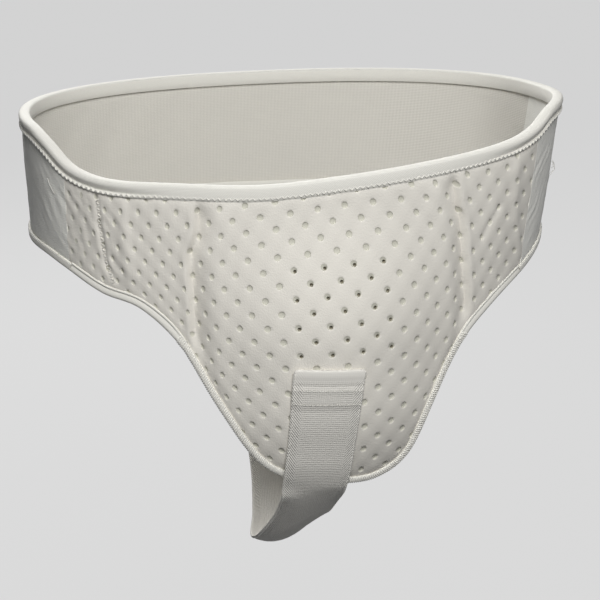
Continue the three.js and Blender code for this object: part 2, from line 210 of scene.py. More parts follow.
# %% [markdown]
# ## Folds worn into the cloth
# The pouch is a cup of its own. A crease runs down each side of it, easy on the cup's side and steep
# outside, with a low lip beyond. Further out a soft ridge stands where the band bends round the hip.
# The right flank has a sewn seam, the left one a short slanting fold, and near both side seams the
# foam is gathered into small puckers. Modelling them by hand would fix them to one mesh. Here each is
# a line in a table with a small profile across it, and their sum is a height that is added to the
# surface, so that panels, bindings and stitches all follow it.

# %% Valleys, ridges and waves
CREASE_DEPTH, CREASE_INSIDE, CREASE_OUTSIDE = 3.4, 6.0, 1.9
BULGE, BULGE_FROM, BULGE_WIDTH = 1.2, -13, 7
LIP, LIP_FROM, LIP_WIDTH = 0.75, 4.0, 2.4
RIDGE_HEIGHT, RIDGE_WIDTH = 1.15, 3.6
# Each line is a table of heights and shares round the hips
VALLEYS = [
    [(-110, -0.17), (-51, -0.175), (-36, -0.177), (-24.5, -0.178), (-13.4, -0.17), (4, -0.168),
     (30, -0.168)],
    [(-110, 0.223), (-74.5, 0.215), (-56.6, 0.208), (-40.8, 0.2), (-25, 0.193), (-11.3, 0.186),
     (-5.5, 0.179), (1.8, 0.174), (9.2, 0.169), (30, 0.163)],
]
RIDGES = [
    [(-70, -0.258), (-45.5, -0.26), (-17, -0.264), (2.9, -0.267), (30, -0.268)],
    [(-60, 0.315), (-45.5, 0.311), (-33.4, 0.301), (-16, 0.285), (-0.3, 0.278), (15, 0.272),
     (40, 0.268)],
]
SEAM_LINE = [(-60, -0.275), (-43.9, -0.282), (-31.8, -0.293), (-14.5, -0.299), (2.4, -0.301),
             (30, -0.302)]
DIAGONAL = [(-28, 0.2245), (-23.4, 0.228), (-18.7, 0.233), (-12.9, 0.243), (-7.6, 0.253)]
DIAGONAL_FROM, DIAGONAL_TO, DIAGONAL_FADE = -29, -5, 6
SEAM_DEPTH, DIAGONAL_DEPTH, DENT_WIDTH = 1.1, 0.8, 1.6
WAVE, PUCKER, PUCKER_STEP, PUCKER_REACH, PUCKER_LEAN = 0.35, 0.36, 6.5, 13, 0.55
CLEAR_LOW, CLEAR_LOW_OVER, CLEAR_TOP, CLEAR_TOP_OVER = 6, 18, 7, 13  # no folds under the bindings


def relief(around, z):
    """How far the cloth stands out from the body's surface or sinks into it, in millimetres."""
    at = wrap(around)
    u = at * HALF_GIRTH
    raised = np.zeros(np.broadcast(at, z).shape)
    for valley in VALLEYS:
        off = (at - look(valley, z)) * HALF_GIRTH * np.sign(valley[0][1])
        inside = np.exp(-(np.abs(off / CREASE_INSIDE) ** 1.3))
        outside = bump_at(off, 0, CREASE_OUTSIDE)
        raised = raised - CREASE_DEPTH * np.where(off < 0, inside, outside)
        raised = raised + BULGE * bump_at(off, BULGE_FROM, BULGE_WIDTH)
        raised = raised + LIP * bump_at(off, LIP_FROM, LIP_WIDTH)
    for ridge in RIDGES:
        raised = raised + RIDGE_HEIGHT * bump_at((at - look(ridge, z)) * HALF_GIRTH, 0, RIDGE_WIDTH)
    from_seam = (at - look(SEAM_LINE, z)) * HALF_GIRTH
    raised = raised - SEAM_DEPTH * bump_at(from_seam, 0, DENT_WIDTH)
    ends = smooth((z - DIAGONAL_FROM) / DIAGONAL_FADE) * smooth((DIAGONAL_TO - z) / DIAGONAL_FADE)
    from_diagonal = (at - look(DIAGONAL, z)) * HALF_GIRTH
    raised = raised - DIAGONAL_DEPTH * ends * bump_at(from_diagonal, 0, DENT_WIDTH)
    # Waves and puckers of unlike lengths, in millimetres, so that no pattern of them shows
    side = smooth((np.abs(at) - 0.17) / 0.1) * smooth((0.95 - np.abs(at)) / 0.2)
    wavy = np.sin(u / 7.3 + 0.05 * z) * np.sin(z / 17 + u / 41) + 0.6 * np.sin(u / 13.7 - z / 23)
    raised = raised + WAVE * side * wavy
    puckered = bump_at(from_seam, 0, PUCKER_REACH) + 0.6 * smooth((np.abs(at) - 0.3) / 0.03)
    puckered = puckered * smooth((0.46 - np.abs(at)) / 0.1)
    lean = np.where(at < 0, PUCKER_LEAN, -PUCKER_LEAN)
    slanted = 2 * math.pi * (0.83 * u + lean * z) / PUCKER_STEP + 1.4 * np.sin(z / 5.3 + u / 11)
    raised = raised + PUCKER * puckered * np.sin(slanted) * (0.55 + 0.45 * np.sin(z / 4.1 - u / 7.7))
    clear = smooth((z - lower_edge(at) - CLEAR_LOW) / CLEAR_LOW_OVER)
    return raised * clear * smooth((top_edge(at) - z - CLEAR_TOP) / CLEAR_TOP_OVER)


def skin(around, z, out):
    """A point of the belt: a place on the body, and how far out of it."""
    _, _, away = slopes(around, z)
    return body(around, z) + away * (out + relief(around, z))[..., None]


middle_crease = relief(np.array(look(VALLEYS[0], -24.0)), np.array(-24.0))
print(f"the right crease is {-middle_crease:.1f} mm deep half way down")

# %% [markdown]
# ## Small tools for meshes
# A sheet is a grid of points outside and a grid inside, closed round its rim. A binding is a closed
# section carried along a line. Both keep a UV map in metres, so that a weave drawn on it has its real
# size everywhere and follows the cloth.

# %% Sheets and swept sections
SHARP, BINDING_SHARP = math.radians(48), math.radians(62)  # a steeper turn than this is an edge


def in_scene(name, data):
    """A new object in the scene."""
    made = bpy.data.objects.new(name, data)
    bpy.context.scene.collection.objects.link(made)
    return made


def shaded_smooth(mesh):
    """Shades all its faces smooth."""
    mesh.polygons.foreach_set("use_smooth", [True] * len(mesh.polygons))


def mesh_object(name, points, faces, corner_uv=None):
    """A smooth shaded mesh. Points and the UV of each face's corners are in millimetres."""
    mesh = bpy.data.meshes.new(name)
    mesh.from_pydata((np.asarray(points) * MM).tolist(), [], faces)
    if corner_uv is not None:
        layer = mesh.uv_layers.new(name="cloth")
        layer.data.foreach_set("uv", (np.asarray(corner_uv) * MM).astype(np.float32).ravel())
    shaded_smooth(mesh)
    return in_scene(name, mesh)


def sheet(name, outside, inside, flat):
    """A closed sheet from two grids of points, columns by rows by 3. flat holds their UV places."""
    columns, rows, _ = outside.shape
    n = columns * rows
    outer = np.arange(n).reshape(columns, rows)
    quads = np.stack([outer[:-1, :-1], outer[1:, :-1], outer[1:, 1:], outer[:-1, 1:]], -1)
    quads = quads.reshape(-1, 4)
    rim = np.concatenate([outer[:-1, 0], outer[-1, :-1], outer[:0:-1, -1], outer[0, :0:-1]])
    following = np.roll(rim, -1)
    wall = np.stack([following, rim, rim + n, following + n], -1)
    faces = np.concatenate([quads, quads[:, ::-1] + n, wall])
    points = np.concatenate([outside.reshape(-1, 3), inside.reshape(-1, 3)])
    uv = np.concatenate([flat.reshape(-1, 2)] * 2)[faces.ravel()]
    return turned_out(mesh_object(name, points, faces.tolist(), uv))


def swept(name, rings, along, closed):
    """A closed section carried along: rings is stations by section points by 3. along is each
    station's length, with one more for the way back to the first where the line is closed."""
    stations, around, _ = rings.shape
    index = np.arange(stations * around).reshape(stations, around)
    index = np.concatenate([index, index[:1]]) if closed else index
    index = np.concatenate([index, index[:, :1]], 1)
    steps = np.linalg.norm(np.diff(rings[0], axis=0, append=rings[0][:1]), axis=1)
    girth = np.concatenate([[0], np.cumsum(steps)])
    flat = np.stack(np.broadcast_arrays(along[:, None], girth[None, :]), -1)
    corners = ((0, 0), (1, 0), (1, 1), (0, 1))

    def each_corner(grid):
        return [grid[a : len(grid) - 1 + a, b : grid.shape[1] - 1 + b] for a, b in corners]

    faces = np.stack(each_corner(index), -1).reshape(-1, 4).tolist()
    uv = np.stack(each_corner(flat), -2).reshape(-1, 2)
    if not closed:
        faces += [index[0, :-1].tolist(), index[-1, :-1][::-1].tolist()]
        uv = np.concatenate([uv, flat[0, :-1], flat[-1, :-1][::-1]])
    return turned_out(mesh_object(name, rings.reshape(-1, 3), faces, uv))


def turned_out(made):
    """Turns a closed mesh's faces outwards if its volume comes out negative."""
    work = bmesh.new()
    work.from_mesh(made.data)
    if work.calc_volume(signed=True) < 0:
        bmesh.ops.reverse_faces(work, faces=work.faces)
    work.to_mesh(made.data)
    work.free()
    return made


def counted(made):
    """Prints a piece's name and its triangles."""
    triangles = sum(len(p.vertices) - 2 for p in made.data.polygons)
    print(f"{made.name}: {triangles} triangles")
    return made


def piece(made, node):
    """Makes a piece move with the whole part, hides the solid that it replaces, and prints its triangles.
    """
    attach(made, "root")
    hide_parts(node)
    return counted(made)


# %% [markdown]
# ## Building node trees
# One small function adds a node with its settings and its inputs, for materials and for geometry
# alike. An input is a value, or another node's output, which is linked. Colours are written as the
# hex values of sRGB, and one function turns them into the linear values that a shader wants.

# %% Node tools


def add(tree, kind, settings=None, **inputs):
    """Adds a node. Inputs are named by socket, with _ for a space, or by number as in_0."""
    made = tree.nodes.new(kind)
    for name, value in (settings or {}).items():
        setattr(made, name, value)
    for name, value in inputs.items():
        number = name[3:] if name.startswith("in_") else ""
        socket = made.inputs[int(number)] if number.isdigit() else made.inputs[name.replace("_", " ")]
        if isinstance(value, bpy.types.NodeSocket):
            tree.links.new(value, socket)
        else:
            socket.default_value = value
    return made


def linear(hex_colour):
    """An sRGB hex colour as linear red, green, blue and alpha."""
    parts = [int(hex_colour[i : i + 2], 16) / 255 for i in (0, 2, 4)]
    return [c / 12.92 if c <= 0.04045 else ((c + 0.055) / 1.055) ** 2.4 for c in parts] + [1.0]


def material(name):
    """An empty material with its output, and the tree to build it in."""
    made = bpy.data.materials.new(name)
    made.use_nodes = True
    made.node_tree.nodes.clear()
    return made, made.node_tree


def formula(tree, operation, *values):
    """Works out a formula with as many nodes as it takes. A value is a number, a node's output or
    a further formula in brackets. MULTIPLY_ADD multiplies two values and adds the third."""
    inputs = {f"in_{number}": formula(tree, *value) if isinstance(value, tuple) else value
              for number, value in enumerate(values)}
    return add(tree, "ShaderNodeMath", {"operation": operation}, **inputs).outputs[0]


def closed_off(tree, level, colours, height, strength, depth, **surface):
    """How each cloth's tree ends: a level that mixes a shade and a tone, a bump that is depth
    millimetres deep, and the surface's own values."""
    colour = add(tree, "ShaderNodeMix", {"data_type": "RGBA"}, in_0=level, in_6=linear(colours[0]),
                 in_7=linear(colours[1]))
    bump = add(tree, "ShaderNodeBump", Strength=strength, Distance=depth * MM, Height=height)
    shader = add(tree, "ShaderNodeBsdfPrincipled", Base_Color=colour.outputs[2],
                 Normal=bump.outputs["Normal"], **surface)
    add(tree, "ShaderNodeOutputMaterial", Surface=shader.outputs[0])


def cloth_places(tree):
    """The cloth's UV map in metres: the way along it, and the way across."""
    flat = add(tree, "ShaderNodeUVMap", {"uv_map": "cloth"})
    apart = add(tree, "ShaderNodeSeparateXYZ", Vector=flat.outputs["UV"])
    return apart.outputs[0], apart.outputs[1]


# %% [markdown]
# ## The cloths
# The foam is a thin open foam with a knitted polyester face. Its face scatters light softly, with a
# faint fuzz, so the shader is rough with a little sheen. Fine noise stands for the knit, which is too
# fine to see as loops at this distance, and a broad, faint change of colour keeps it from looking
# like plastic.

# %% Foam laminate
KNIT_STEP = 0.9  # mm from loop to loop, drawn a little coarse so that it shows
CELL_STEP = 0.6  # mm, the cells of the open foam


def knitted(name, tone, shade, knit_step, strength, sheen):
    """A knitted face: two close colours, a fine knit in the bump, and fuzz."""
    made, tree = material(name)
    place = add(tree, "ShaderNodeTexCoord").outputs["Object"]
    broad = add(tree, "ShaderNodeTexNoise", Vector=place, Scale=22.0, Detail=3.0)
    fine = add(tree, "ShaderNodeTexNoise", Vector=place, Scale=1000 / knit_step, Detail=2.0)
    loops = add(tree, "ShaderNodeTexVoronoi", Vector=place, Scale=1000 / knit_step)
    level = formula(tree, "MULTIPLY_ADD", broad.outputs["Fac"], 0.8, 0.5)
    level = formula(tree, "ADD", level, ("MULTIPLY", fine.outputs["Fac"], 0.35))
    height = formula(tree, "ADD", fine.outputs["Fac"], loops.outputs["Distance"])
    closed_off(tree, level, (shade, tone), height, strength, depth=0.3, Roughness=0.92,
               Sheen_Weight=sheen, Sheen_Roughness=0.5, Specular_IOR_Level=0.25)
    return made


foam_laminate = knitted("knitted foam laminate", "E9E5DC", "DAD6CC", KNIT_STEP, strength=0.35,
                        sheen=0.15)
# The lining on the holes' floors is the same knit drawn a shade darker, painted shade inside the dimples.
knit_lining_painted_shade = knitted("knitted lining under the holes", "D2D0C3", "C4C2B4", KNIT_STEP, strength=0.3,
                      sheen=0.1)
# The foam core is drawn dark grey as painted shade: it darkens the throats of the open holes, where shade
# falls.
foam_core_painted_shade = knitted("open foam core in its own shade", "9C9685", "777163", CELL_STEP, strength=0.5,
                    sheen=0.0)

# %% [markdown]
# The sides are brushed loop cloth, which the hooks grip: the same foam with a fuzzier, duller face.
# The tab is woven hook tape, a shade greyer and a little shiny from its fine nylon hooks.

# %% Brushed loop cloth and hook tape
NAP_STEP, HOOK_STEP = 0.7, 1.3  # mm, the tufts of the brushed loops and the rows of hooks
brushed_loop = knitted("brushed loop cloth", "F1F0E9", "E4E3DC", NAP_STEP, strength=0.6, sheen=0.25)
hook_tape = knitted("woven nylon hook tape", "D5D2C9", "C2BFB6", HOOK_STEP, strength=0.9, sheen=0.1)

# %% [markdown]
# Elastic is woven: rubber strands run along it, and the yarn round them makes fine cords with
# small cross bars between. Two wave patterns over the UV map, which is in metres, draw cords and bars
# at their real step. Thin folded elastic has finer cords than the back's.

# %% Woven elastics


def waves(tree, coordinate, step):
    """A wave from 0 to 1 that repeats every step millimetres along one coordinate in metres."""
    turns = formula(tree, "MULTIPLY", coordinate, 2 * math.pi * 1000 / step)
    return formula(tree, "MULTIPLY_ADD", ("SINE", turns), 0.5, 0.5)


def elastic(name, tone, shade, cord_step, bar_step, strength, twill=0.0):
    """Woven elastic: cords along it, bars across it, turned into a diagonal by twill."""
    made, tree = material(name)
    along, across = cloth_places(tree)
    slanted = formula(tree, "ADD", along, ("MULTIPLY", across, twill))
    cords = waves(tree, across, cord_step)
    bars = waves(tree, slanted, bar_step)
    place = add(tree, "ShaderNodeTexCoord").outputs["Object"]
    uneven = add(tree, "ShaderNodeTexNoise", Vector=place, Scale=900.0, Detail=2.0)
    weave = formula(tree, "ADD", ("MULTIPLY", cords, 0.6), bars)
    weave = formula(tree, "ADD", weave, ("MULTIPLY", uneven.outputs["Fac"], 0.8))
    level = formula(tree, "MULTIPLY", weave, 0.45)
    closed_off(tree, level, (shade, tone), weave, strength, depth=0.3, Roughness=0.78,
               Sheen_Weight=0.12, Sheen_Roughness=0.4, Specular_IOR_Level=0.35)
    return made


folded_elastic = elastic("folded knitted elastic", "F3F1E9", "E3E1D9", cord_step=0.8, bar_step=0.9,
                         strength=0.3, twill=0.6)
back_elastic = elastic("ribbed back elastic", "E3E0D8", "D5D2C9", cord_step=2.4, bar_step=1.1,
                       strength=0.35)

# %% [markdown]
# The strap's webbing has fine ribs across it, broken into dots by the yarns that run along, and a
# herringbone towards each selvedge. The herringbone's wave counts the distance from the middle line,
# so it turns back there by itself. The folded end is smooth, since there the elastic is stretched
# over its own fold. A picture of webbing would do too, but it would need a file and blur close up.

# %% Webbing
HERRINGBONE_FROM, HERRINGBONE_STEP = 13.5, 1.9
RIB_STEP = 1.25  # mm from rib to rib, drawn a little coarse so that it shows
SMOOTH_END = 6.0
SELVEDGE_OVER, SMOOTH_OVER, HERRINGBONE_SLANT = 2, 3, 1.3


def webbing_finish():
    """Woven elastic: dotted ribs in the middle, a herringbone outside, a smooth folded end."""
    made, tree = material("woven elastic webbing")
    down, across = cloth_places(tree)
    from_middle = formula(tree, "ABSOLUTE", across)
    ribs = waves(tree, down, RIB_STEP)
    slant = formula(tree, "MULTIPLY", from_middle, HERRINGBONE_SLANT)
    slanted = waves(tree, formula(tree, "ADD", down, slant), HERRINGBONE_STEP)
    selvedge = add(tree, "ShaderNodeMapRange", Value=from_middle, From_Min=HERRINGBONE_FROM * MM,
                   From_Max=(HERRINGBONE_FROM + SELVEDGE_OVER) * MM)
    below_end = add(tree, "ShaderNodeMapRange", Value=down, From_Min=SMOOTH_END * MM,
                    From_Max=(SMOOTH_END + SMOOTH_OVER) * MM, To_Min=0.15)
    dots = formula(tree, "ADD", ribs, waves(tree, across, RIB_STEP))
    woven = add(tree, "ShaderNodeMix", in_0=selvedge.outputs[0],
                in_2=formula(tree, "MULTIPLY", dots, 0.35), in_3=slanted)
    place = add(tree, "ShaderNodeTexCoord").outputs["Object"]
    yarn = add(tree, "ShaderNodeTexNoise", Vector=place, Scale=1100.0, Detail=2.0)
    weave = formula(tree, "ADD", woven.outputs[0], yarn.outputs["Fac"])
    weave = formula(tree, "MULTIPLY", weave, below_end.outputs[0])
    plain = formula(tree, "MULTIPLY", ("SUBTRACT", 1.0, below_end.outputs[0]), 0.75)
    level = formula(tree, "ADD", ("MULTIPLY", weave, 0.6), plain)
    closed_off(tree, level, ("CFCCC4", "F0EDE6"), weave, strength=0.8, depth=0.4, Roughness=0.75,
               Sheen_Weight=0.12, Sheen_Roughness=0.4, Specular_IOR_Level=0.35)
    return made


webbing = webbing_finish()

# %% [markdown]
# Sewing thread is spun polyester, whiter and shinier than the cloth, so stitches catch the light.

# %% Sewing thread


def thread_finish():
    """Thread: close whites, fine fibres in the bump, and a little gloss."""
    made, tree = material("spun polyester thread")
    place = add(tree, "ShaderNodeTexCoord").outputs["Object"]
    fibres = add(tree, "ShaderNodeTexNoise", Vector=place, Scale=3000.0, Detail=1.0)
    closed_off(tree, fibres.outputs["Fac"], ("DEDCD4", "F6F4EE"), fibres.outputs["Fac"],
               strength=0.4, depth=0.1, Roughness=0.55, Sheen_Weight=0.2)
    return made


thread = thread_finish()
print("materials:", ", ".join(m.name for m in bpy.data.materials))

# %% [markdown]
# ## Geometry Nodes for what repeats
# A tree is made with named inputs, put on an object as a modifier, and its result is turned into a
# plain mesh. An input is set by its socket's identifier, because a modifier keeps it under that.

# %% Tree tools


def tree_with(name, **inputs):
    """An empty geometry tree with named inputs, listed by their kind."""
    tree = bpy.data.node_groups.new(name, "GeometryNodeTree")
    tree.interface.new_socket("Geometry", in_out="INPUT", socket_type="NodeSocketGeometry")
    tree.interface.new_socket("Geometry", in_out="OUTPUT", socket_type="NodeSocketGeometry")
    for kind, labels in inputs.items():
        for label in labels:
            tree.interface.new_socket(label, in_out="INPUT", socket_type="NodeSocket" + kind)
    return tree, tree.nodes.new("NodeGroupInput"), tree.nodes.new("NodeGroupOutput")


def grown(made, tree, **values):
    """Runs a tree on an object and keeps the result as its plain mesh."""
    modifier = made.modifiers.new(tree.name, "NODES")
    modifier.node_group = tree
    for item in tree.interface.items_tree:
        if item.item_type == "SOCKET" and item.in_out == "INPUT" and item.name in values:
            modifier[item.identifier] = values[item.name]
    bpy.context.view_layer.update()
    result = bpy.data.meshes.new_from_object(
        made.evaluated_get(bpy.context.evaluated_depsgraph_get()))
    made.modifiers.clear()
    old = made.data
    made.data = result
    result.name = made.name
    bpy.data.meshes.remove(old)
    return made


# %% [markdown]
# ## The perforated front
# The foam is die-cut: an even, staggered pattern of holes in rows over the whole panel, cut off by
# its edges. Most end on the lining, and a patch in the middle of the pouch is open right through.
# The panel is made flat, as it was cut, and then each point is moved onto the body. Cutting it flat
# keeps each hole square to the cloth, and where the cloth is gathered the holes grow narrow with it,
# as they do on the real one.

# %% The pattern's sizes
HOLE_PITCH, HOLE_ROW = 17.2, 8
PATTERN_COLUMNS, PATTERN_ROWS = 31, 39
WINDOW_MIDDLE, WINDOW_HALF = (-0.5 * HOLE_PITCH, -3 * HOLE_ROW), (27, 25)
SHEET_SIZE, SHEET_CELL = (500, 290), 2
MOUTH, BLIND_FLOOR, BLIND_DEPTH, OPEN_THROAT, OPEN_END = 1.95, 1.35, 0.68, 0.98, 0.55
# Below these depths a hole's faces take the lining's and the core's darker colours, painted shade inside
# the hole.
LINING_FROM, OPEN_DARK_FROM = 0.25, 0.9  # how deep the lining's and the core's colours start
PUNCH_SIDES = 16


def punch(name, rings, core_from):
    """A round punch: rings of (radius, height, shift), the shift leaning it down and sideways."""
    sides = PUNCH_SIDES
    points, faces = [], []
    for radius, height, shift in rings:
        for k in range(sides):
            a = 2 * math.pi * k / sides
            points.append((radius * math.cos(a) + 0.8 * shift, radius * math.sin(a) - shift,
                           FRONT_WALL + height))
    for ring in range(len(rings) - 1):
        for k in range(sides):
            o = (k + 1) % sides
            top, low = ring * sides, (ring + 1) * sides
            faces.append((top + k, low + k, low + o, top + o))
    faces.append(tuple(range(sides)))
    faces.append(tuple(reversed(range(len(points) - sides, len(points)))))
    made = turned_out(mesh_object(name, points, faces))
    # Faces deeper in the hole take darker colours: painted shade inside the hole.
    for finish in (foam_laminate, knit_lining_painted_shade, foam_core_painted_shade):
        made.data.materials.append(finish)
    for face in made.data.polygons:
        depth = FRONT_WALL - face.center.z / MM
        face.material_index = int(depth > LINING_FROM) + int(depth > core_from)
    return made


def hole_offset(x, y):
    """The distance from the nearest hole of the pattern, for places on the flat sheet."""
    best = np.full(np.shape(x), 1e9)
    for extra in (-1, 0, 1):
        row = np.round(y / HOLE_ROW) + extra
        shift = HOLE_PITCH / 2 * (row % 2)
        column = np.round((x - shift) / HOLE_PITCH)
        best = np.minimum(best, np.hypot(x - shift - column * HOLE_PITCH, y - row * HOLE_ROW))
    return best


# %% [markdown]
# ## How the flat sheet is gathered
# On the body the pattern isn't even. It is open on the cup and gathered towards the hips, where the
# elastic draws the foam together. A table gives, for a column of holes, where it lies along the girth
# and how high, and how both change from row to row. A smooth reading of it takes any place on the
# flat sheet to the body. The way back, which the cut edge needs, has no formula, so it is found by
# a few steps of Newton's rule.

# %% From the flat sheet to the girth and back
GATHER = np.array([  # column, girth, its change by row and by row squared, height, the same two
    (-18, -198, -1.2, 0.04, -35.0, -1.5, 0.05), (-13.5, -152, -1.2, 0.04, -35.2, -1.5, 0.05),
    (-11, -129, -1.25, 0.06, -35.6, -1.5, 0.07),
    (-9, -109.1, -1.27, 0.068, -35.8, -1.45, 0.089), (-7, -89.0, -0.95, 0.045, -37.1, -1.0, 0.064),
    (-5, -66.6, -0.62, 0.022, -36.5, -0.55, 0.039), (-3.5, -46.2, -0.6, 0.018, -35.2, -0.3, 0.028),
    (-2, -21.0, -0.6, 0.012, -33.4, -0.05, 0.018), (0, 13.8, -1.3, -0.045, -31.5, 0.3, 0.032),
    (2, 49.2, -1.65, -0.08, -30.5, 0.32, 0.036), (3, 64.6, -1.6, -0.083, -29.9, 0.13, 0.028),
    (4.2, 81.5, -1.54, -0.08, -29.6, -0.15, 0.018), (5.2, 96.5, -1.5, -0.04, -33.2, -0.36, 0.02),
    (7, 121.3, -1.43, 0.0, -31.2, -0.6, 0.03), (8.3, 143, -1.4, 0.0, -34.5, -0.85, 0.035),
    (10, 168, -1.4, 0.0, -35.5, -0.85, 0.035), (14, 227, -1.4, 0.0, -35.5, -0.85, 0.035),
])


def gathered(x, y):
    """Where a place of the flat sheet lies: along the girth, and how high."""
    row = y / HOLE_ROW
    read = look_through(GATHER[:, 0], GATHER[:, 1:], x / HOLE_PITCH)
    girth = read[..., 0] + read[..., 1] * row + read[..., 2] * row * row
    return girth, HOLE_ROW * row + read[..., 3] + read[..., 4] * row + read[..., 5] * row * row


NEWTON_STEPS, LONGEST_STEP = 40, 12


def ungathered(u, z):
    """The place of the flat sheet that lies at this length of the girth and height."""
    x, y = u * 1.3, z + 33.0  # near enough to start from, everywhere on the panel
    e = 0.5
    for _ in range(NEWTON_STEPS):
        gu, gz = gathered(x, y)
        ux, zx = ((b - a) / e for a, b in zip((gu, gz), gathered(x + e, y)))
        uy, zy = ((b - a) / e for a, b in zip((gu, gz), gathered(x, y + e)))
        det = ux * zy - uy * zx
        du, dz = u - gu, z - gz
        x = x + np.clip((zy * du - uy * dz) / det, -LONGEST_STEP, LONGEST_STEP)
        y = y + np.clip((ux * dz - zx * du) / det, -LONGEST_STEP, LONGEST_STEP)
    return x, y


# %% [markdown]
# ## Perforating with Geometry Nodes
# The tree makes a fine block for the sheet and keeps what lies inside the cut outline. A grid of
# points, every other row moved by half a pitch, carries the punches. Points inside the window get the
# open punch, the rest the blind one. Realized, the punches are taken out of the sheet in one Boolean,
# which also brings their materials along: the lining on the floors and the foam's core in the throats,
# both drawn darker than the face as painted shade in the holes.

# %% The tree that perforates a sheet


def perforating_tree():
    """The tree, with its sizes as named inputs."""
    tree, given, result = tree_with(
        "perforated sheet", Float=("Wall", "Pitch", "Row step"),
        Vector=("Sheet", "Window middle", "Window half"),
        Int=("Columns", "Rows", "Hole columns", "Hole rows"),
        Object=("Blind punch", "Open punch"), Material=("Finish",))
    g = given.outputs
    block = add(tree, "GeometryNodeMeshCube", Size=g["Sheet"], Vertices_X=g["Columns"],
                Vertices_Y=g["Rows"], Vertices_Z=2)
    half_wall = formula(tree, "DIVIDE", g["Wall"], 2.0)
    block = add(tree, "GeometryNodeTransform", Geometry=block.outputs["Mesh"],
                Translation=add(tree, "ShaderNodeCombineXYZ", Z=half_wall).outputs[0])
    finished = add(tree, "GeometryNodeSetMaterial", Geometry=block.outputs[0], Material=g["Finish"])
    cut_out = add(tree, "GeometryNodeMeshBoolean", {"operation": "INTERSECT", "solver": "EXACT"})
    tree.links.new(finished.outputs[0], cut_out.inputs["Mesh 2"])
    tree.links.new(g["Geometry"], cut_out.inputs["Mesh 2"])

    pitches = formula(tree, "SUBTRACT", g["Hole columns"], 1.0)
    row_steps = formula(tree, "SUBTRACT", g["Hole rows"], 1.0)
    width = formula(tree, "MULTIPLY", g["Pitch"], pitches)
    height = formula(tree, "MULTIPLY", g["Row step"], row_steps)
    places = add(tree, "GeometryNodeMeshGrid", Size_X=width, Size_Y=height,
                 Vertices_X=g["Hole columns"], Vertices_Y=g["Hole rows"])
    here = add(tree, "ShaderNodeSeparateXYZ", Vector=add(tree, "GeometryNodeInputPosition").outputs[0])
    row = formula(tree, "ROUND", ("DIVIDE", here.outputs["Y"], g["Row step"]))
    odd = formula(tree, "FLOORED_MODULO", row, 2.0)
    shift = formula(tree, "MULTIPLY", odd, ("DIVIDE", g["Pitch"], 2.0))
    staggered = add(tree, "GeometryNodeSetPosition", Geometry=places.outputs["Mesh"],
                    Offset=add(tree, "ShaderNodeCombineXYZ", X=shift).outputs[0])
    window = add(tree, "ShaderNodeSeparateXYZ", Vector=g["Window half"])
    from_middle = add(tree, "ShaderNodeVectorMath", {"operation": "SUBTRACT"},
                      in_0=add(tree, "GeometryNodeInputPosition").outputs[0], in_1=g["Window middle"])
    apart = add(tree, "ShaderNodeSeparateXYZ", Vector=from_middle.outputs[0])
    wide = add(tree, "FunctionNodeCompare", {"operation": "LESS_THAN"},
               in_0=formula(tree, "ABSOLUTE", apart.outputs["X"]), in_1=window.outputs["X"])
    high = add(tree, "FunctionNodeCompare", {"operation": "LESS_THAN"},
               in_0=formula(tree, "ABSOLUTE", apart.outputs["Y"]), in_1=window.outputs["Y"])
    open_here = add(tree, "FunctionNodeBooleanMath", {"operation": "AND"}, in_0=wide.outputs[0],
                    in_1=high.outputs[0])
    blind_here = add(tree, "FunctionNodeBooleanMath", {"operation": "NOT"}, in_0=open_here.outputs[0])
    all_tools = add(tree, "GeometryNodeJoinGeometry")
    for socket, where in (("Blind punch", blind_here), ("Open punch", open_here)):
        shape = add(tree, "GeometryNodeObjectInfo", Object=g[socket])
        tool = add(tree, "GeometryNodeInstanceOnPoints", Points=staggered.outputs[0],
                   Selection=where.outputs[0], Instance=shape.outputs["Geometry"])
        tree.links.new(tool.outputs[0], all_tools.inputs[0])
    tools = add(tree, "GeometryNodeRealizeInstances", Geometry=all_tools.outputs[0])
    pierced = add(tree, "GeometryNodeMeshBoolean", {"operation": "DIFFERENCE", "solver": "EXACT"},
                  Mesh_1=cut_out.outputs[0])
    tree.links.new(tools.outputs[0], pierced.inputs["Mesh 2"])
    tree.links.new(pierced.outputs[0], result.inputs[0])
    return tree


# %% [markdown]
# ## Cut the panel flat
# The panel's edge is known on the body, a binding's wall in from the belt's edges. It is taken back
# to the flat sheet and raised into a block, which the tree uses as its cutter. The punches are turned
# shapes: a rim that breaks the edge of the hole, then a shallow floor, or a throat that leans.

# %% The outline on the flat sheet
OUTLINE_STEP, LEAST_STEP, PRISM_PAST = 2.0, 0.05, 5.0


def panel_outline():
    """The front panel's cut edge on the flat sheet, in order round it, in millimetres."""
    count = int((SEAM_LEFT - SEAM_RIGHT) * HALF_GIRTH / OUTLINE_STEP)
    around = np.linspace(SEAM_RIGHT + SEAM_END, SEAM_LEFT - SEAM_END, count)
    lines = []
    for edge in (lower_edge, top_edge):
        at, z = from_edge(edge, around, INSET)
        lines.append(np.stack([np.clip(at, around[0], around[-1]) * HALF_GIRTH, z]))
    girth, height = np.concatenate([lines[0], lines[1][:, ::-1]], axis=1)
    line = np.stack(ungathered(girth, height), -1)
    apart = np.linalg.norm(np.diff(line, axis=0, append=line[:1]), axis=1) > LEAST_STEP
    return line[apart]


def outline_prism(line):
    """The outline as a closed block that reaches past both faces of the sheet."""
    n = len(line)
    below = np.column_stack([line, np.full(n, -PRISM_PAST)])
    above = np.column_stack([line, np.full(n, FRONT_WALL + PRISM_PAST)])
    faces = [tuple(range(n - 1, -1, -1)), tuple(range(n, 2 * n))]
    faces += [(k, (k + 1) % n, n + (k + 1) % n, n + k) for k in range(n)]
    return turned_out(mesh_object("front_panel_foam", np.concatenate([below, above]), faces))


# %% Cut and perforate the sheet
front = outline_prism(panel_outline())
front.data.materials.append(foam_laminate)
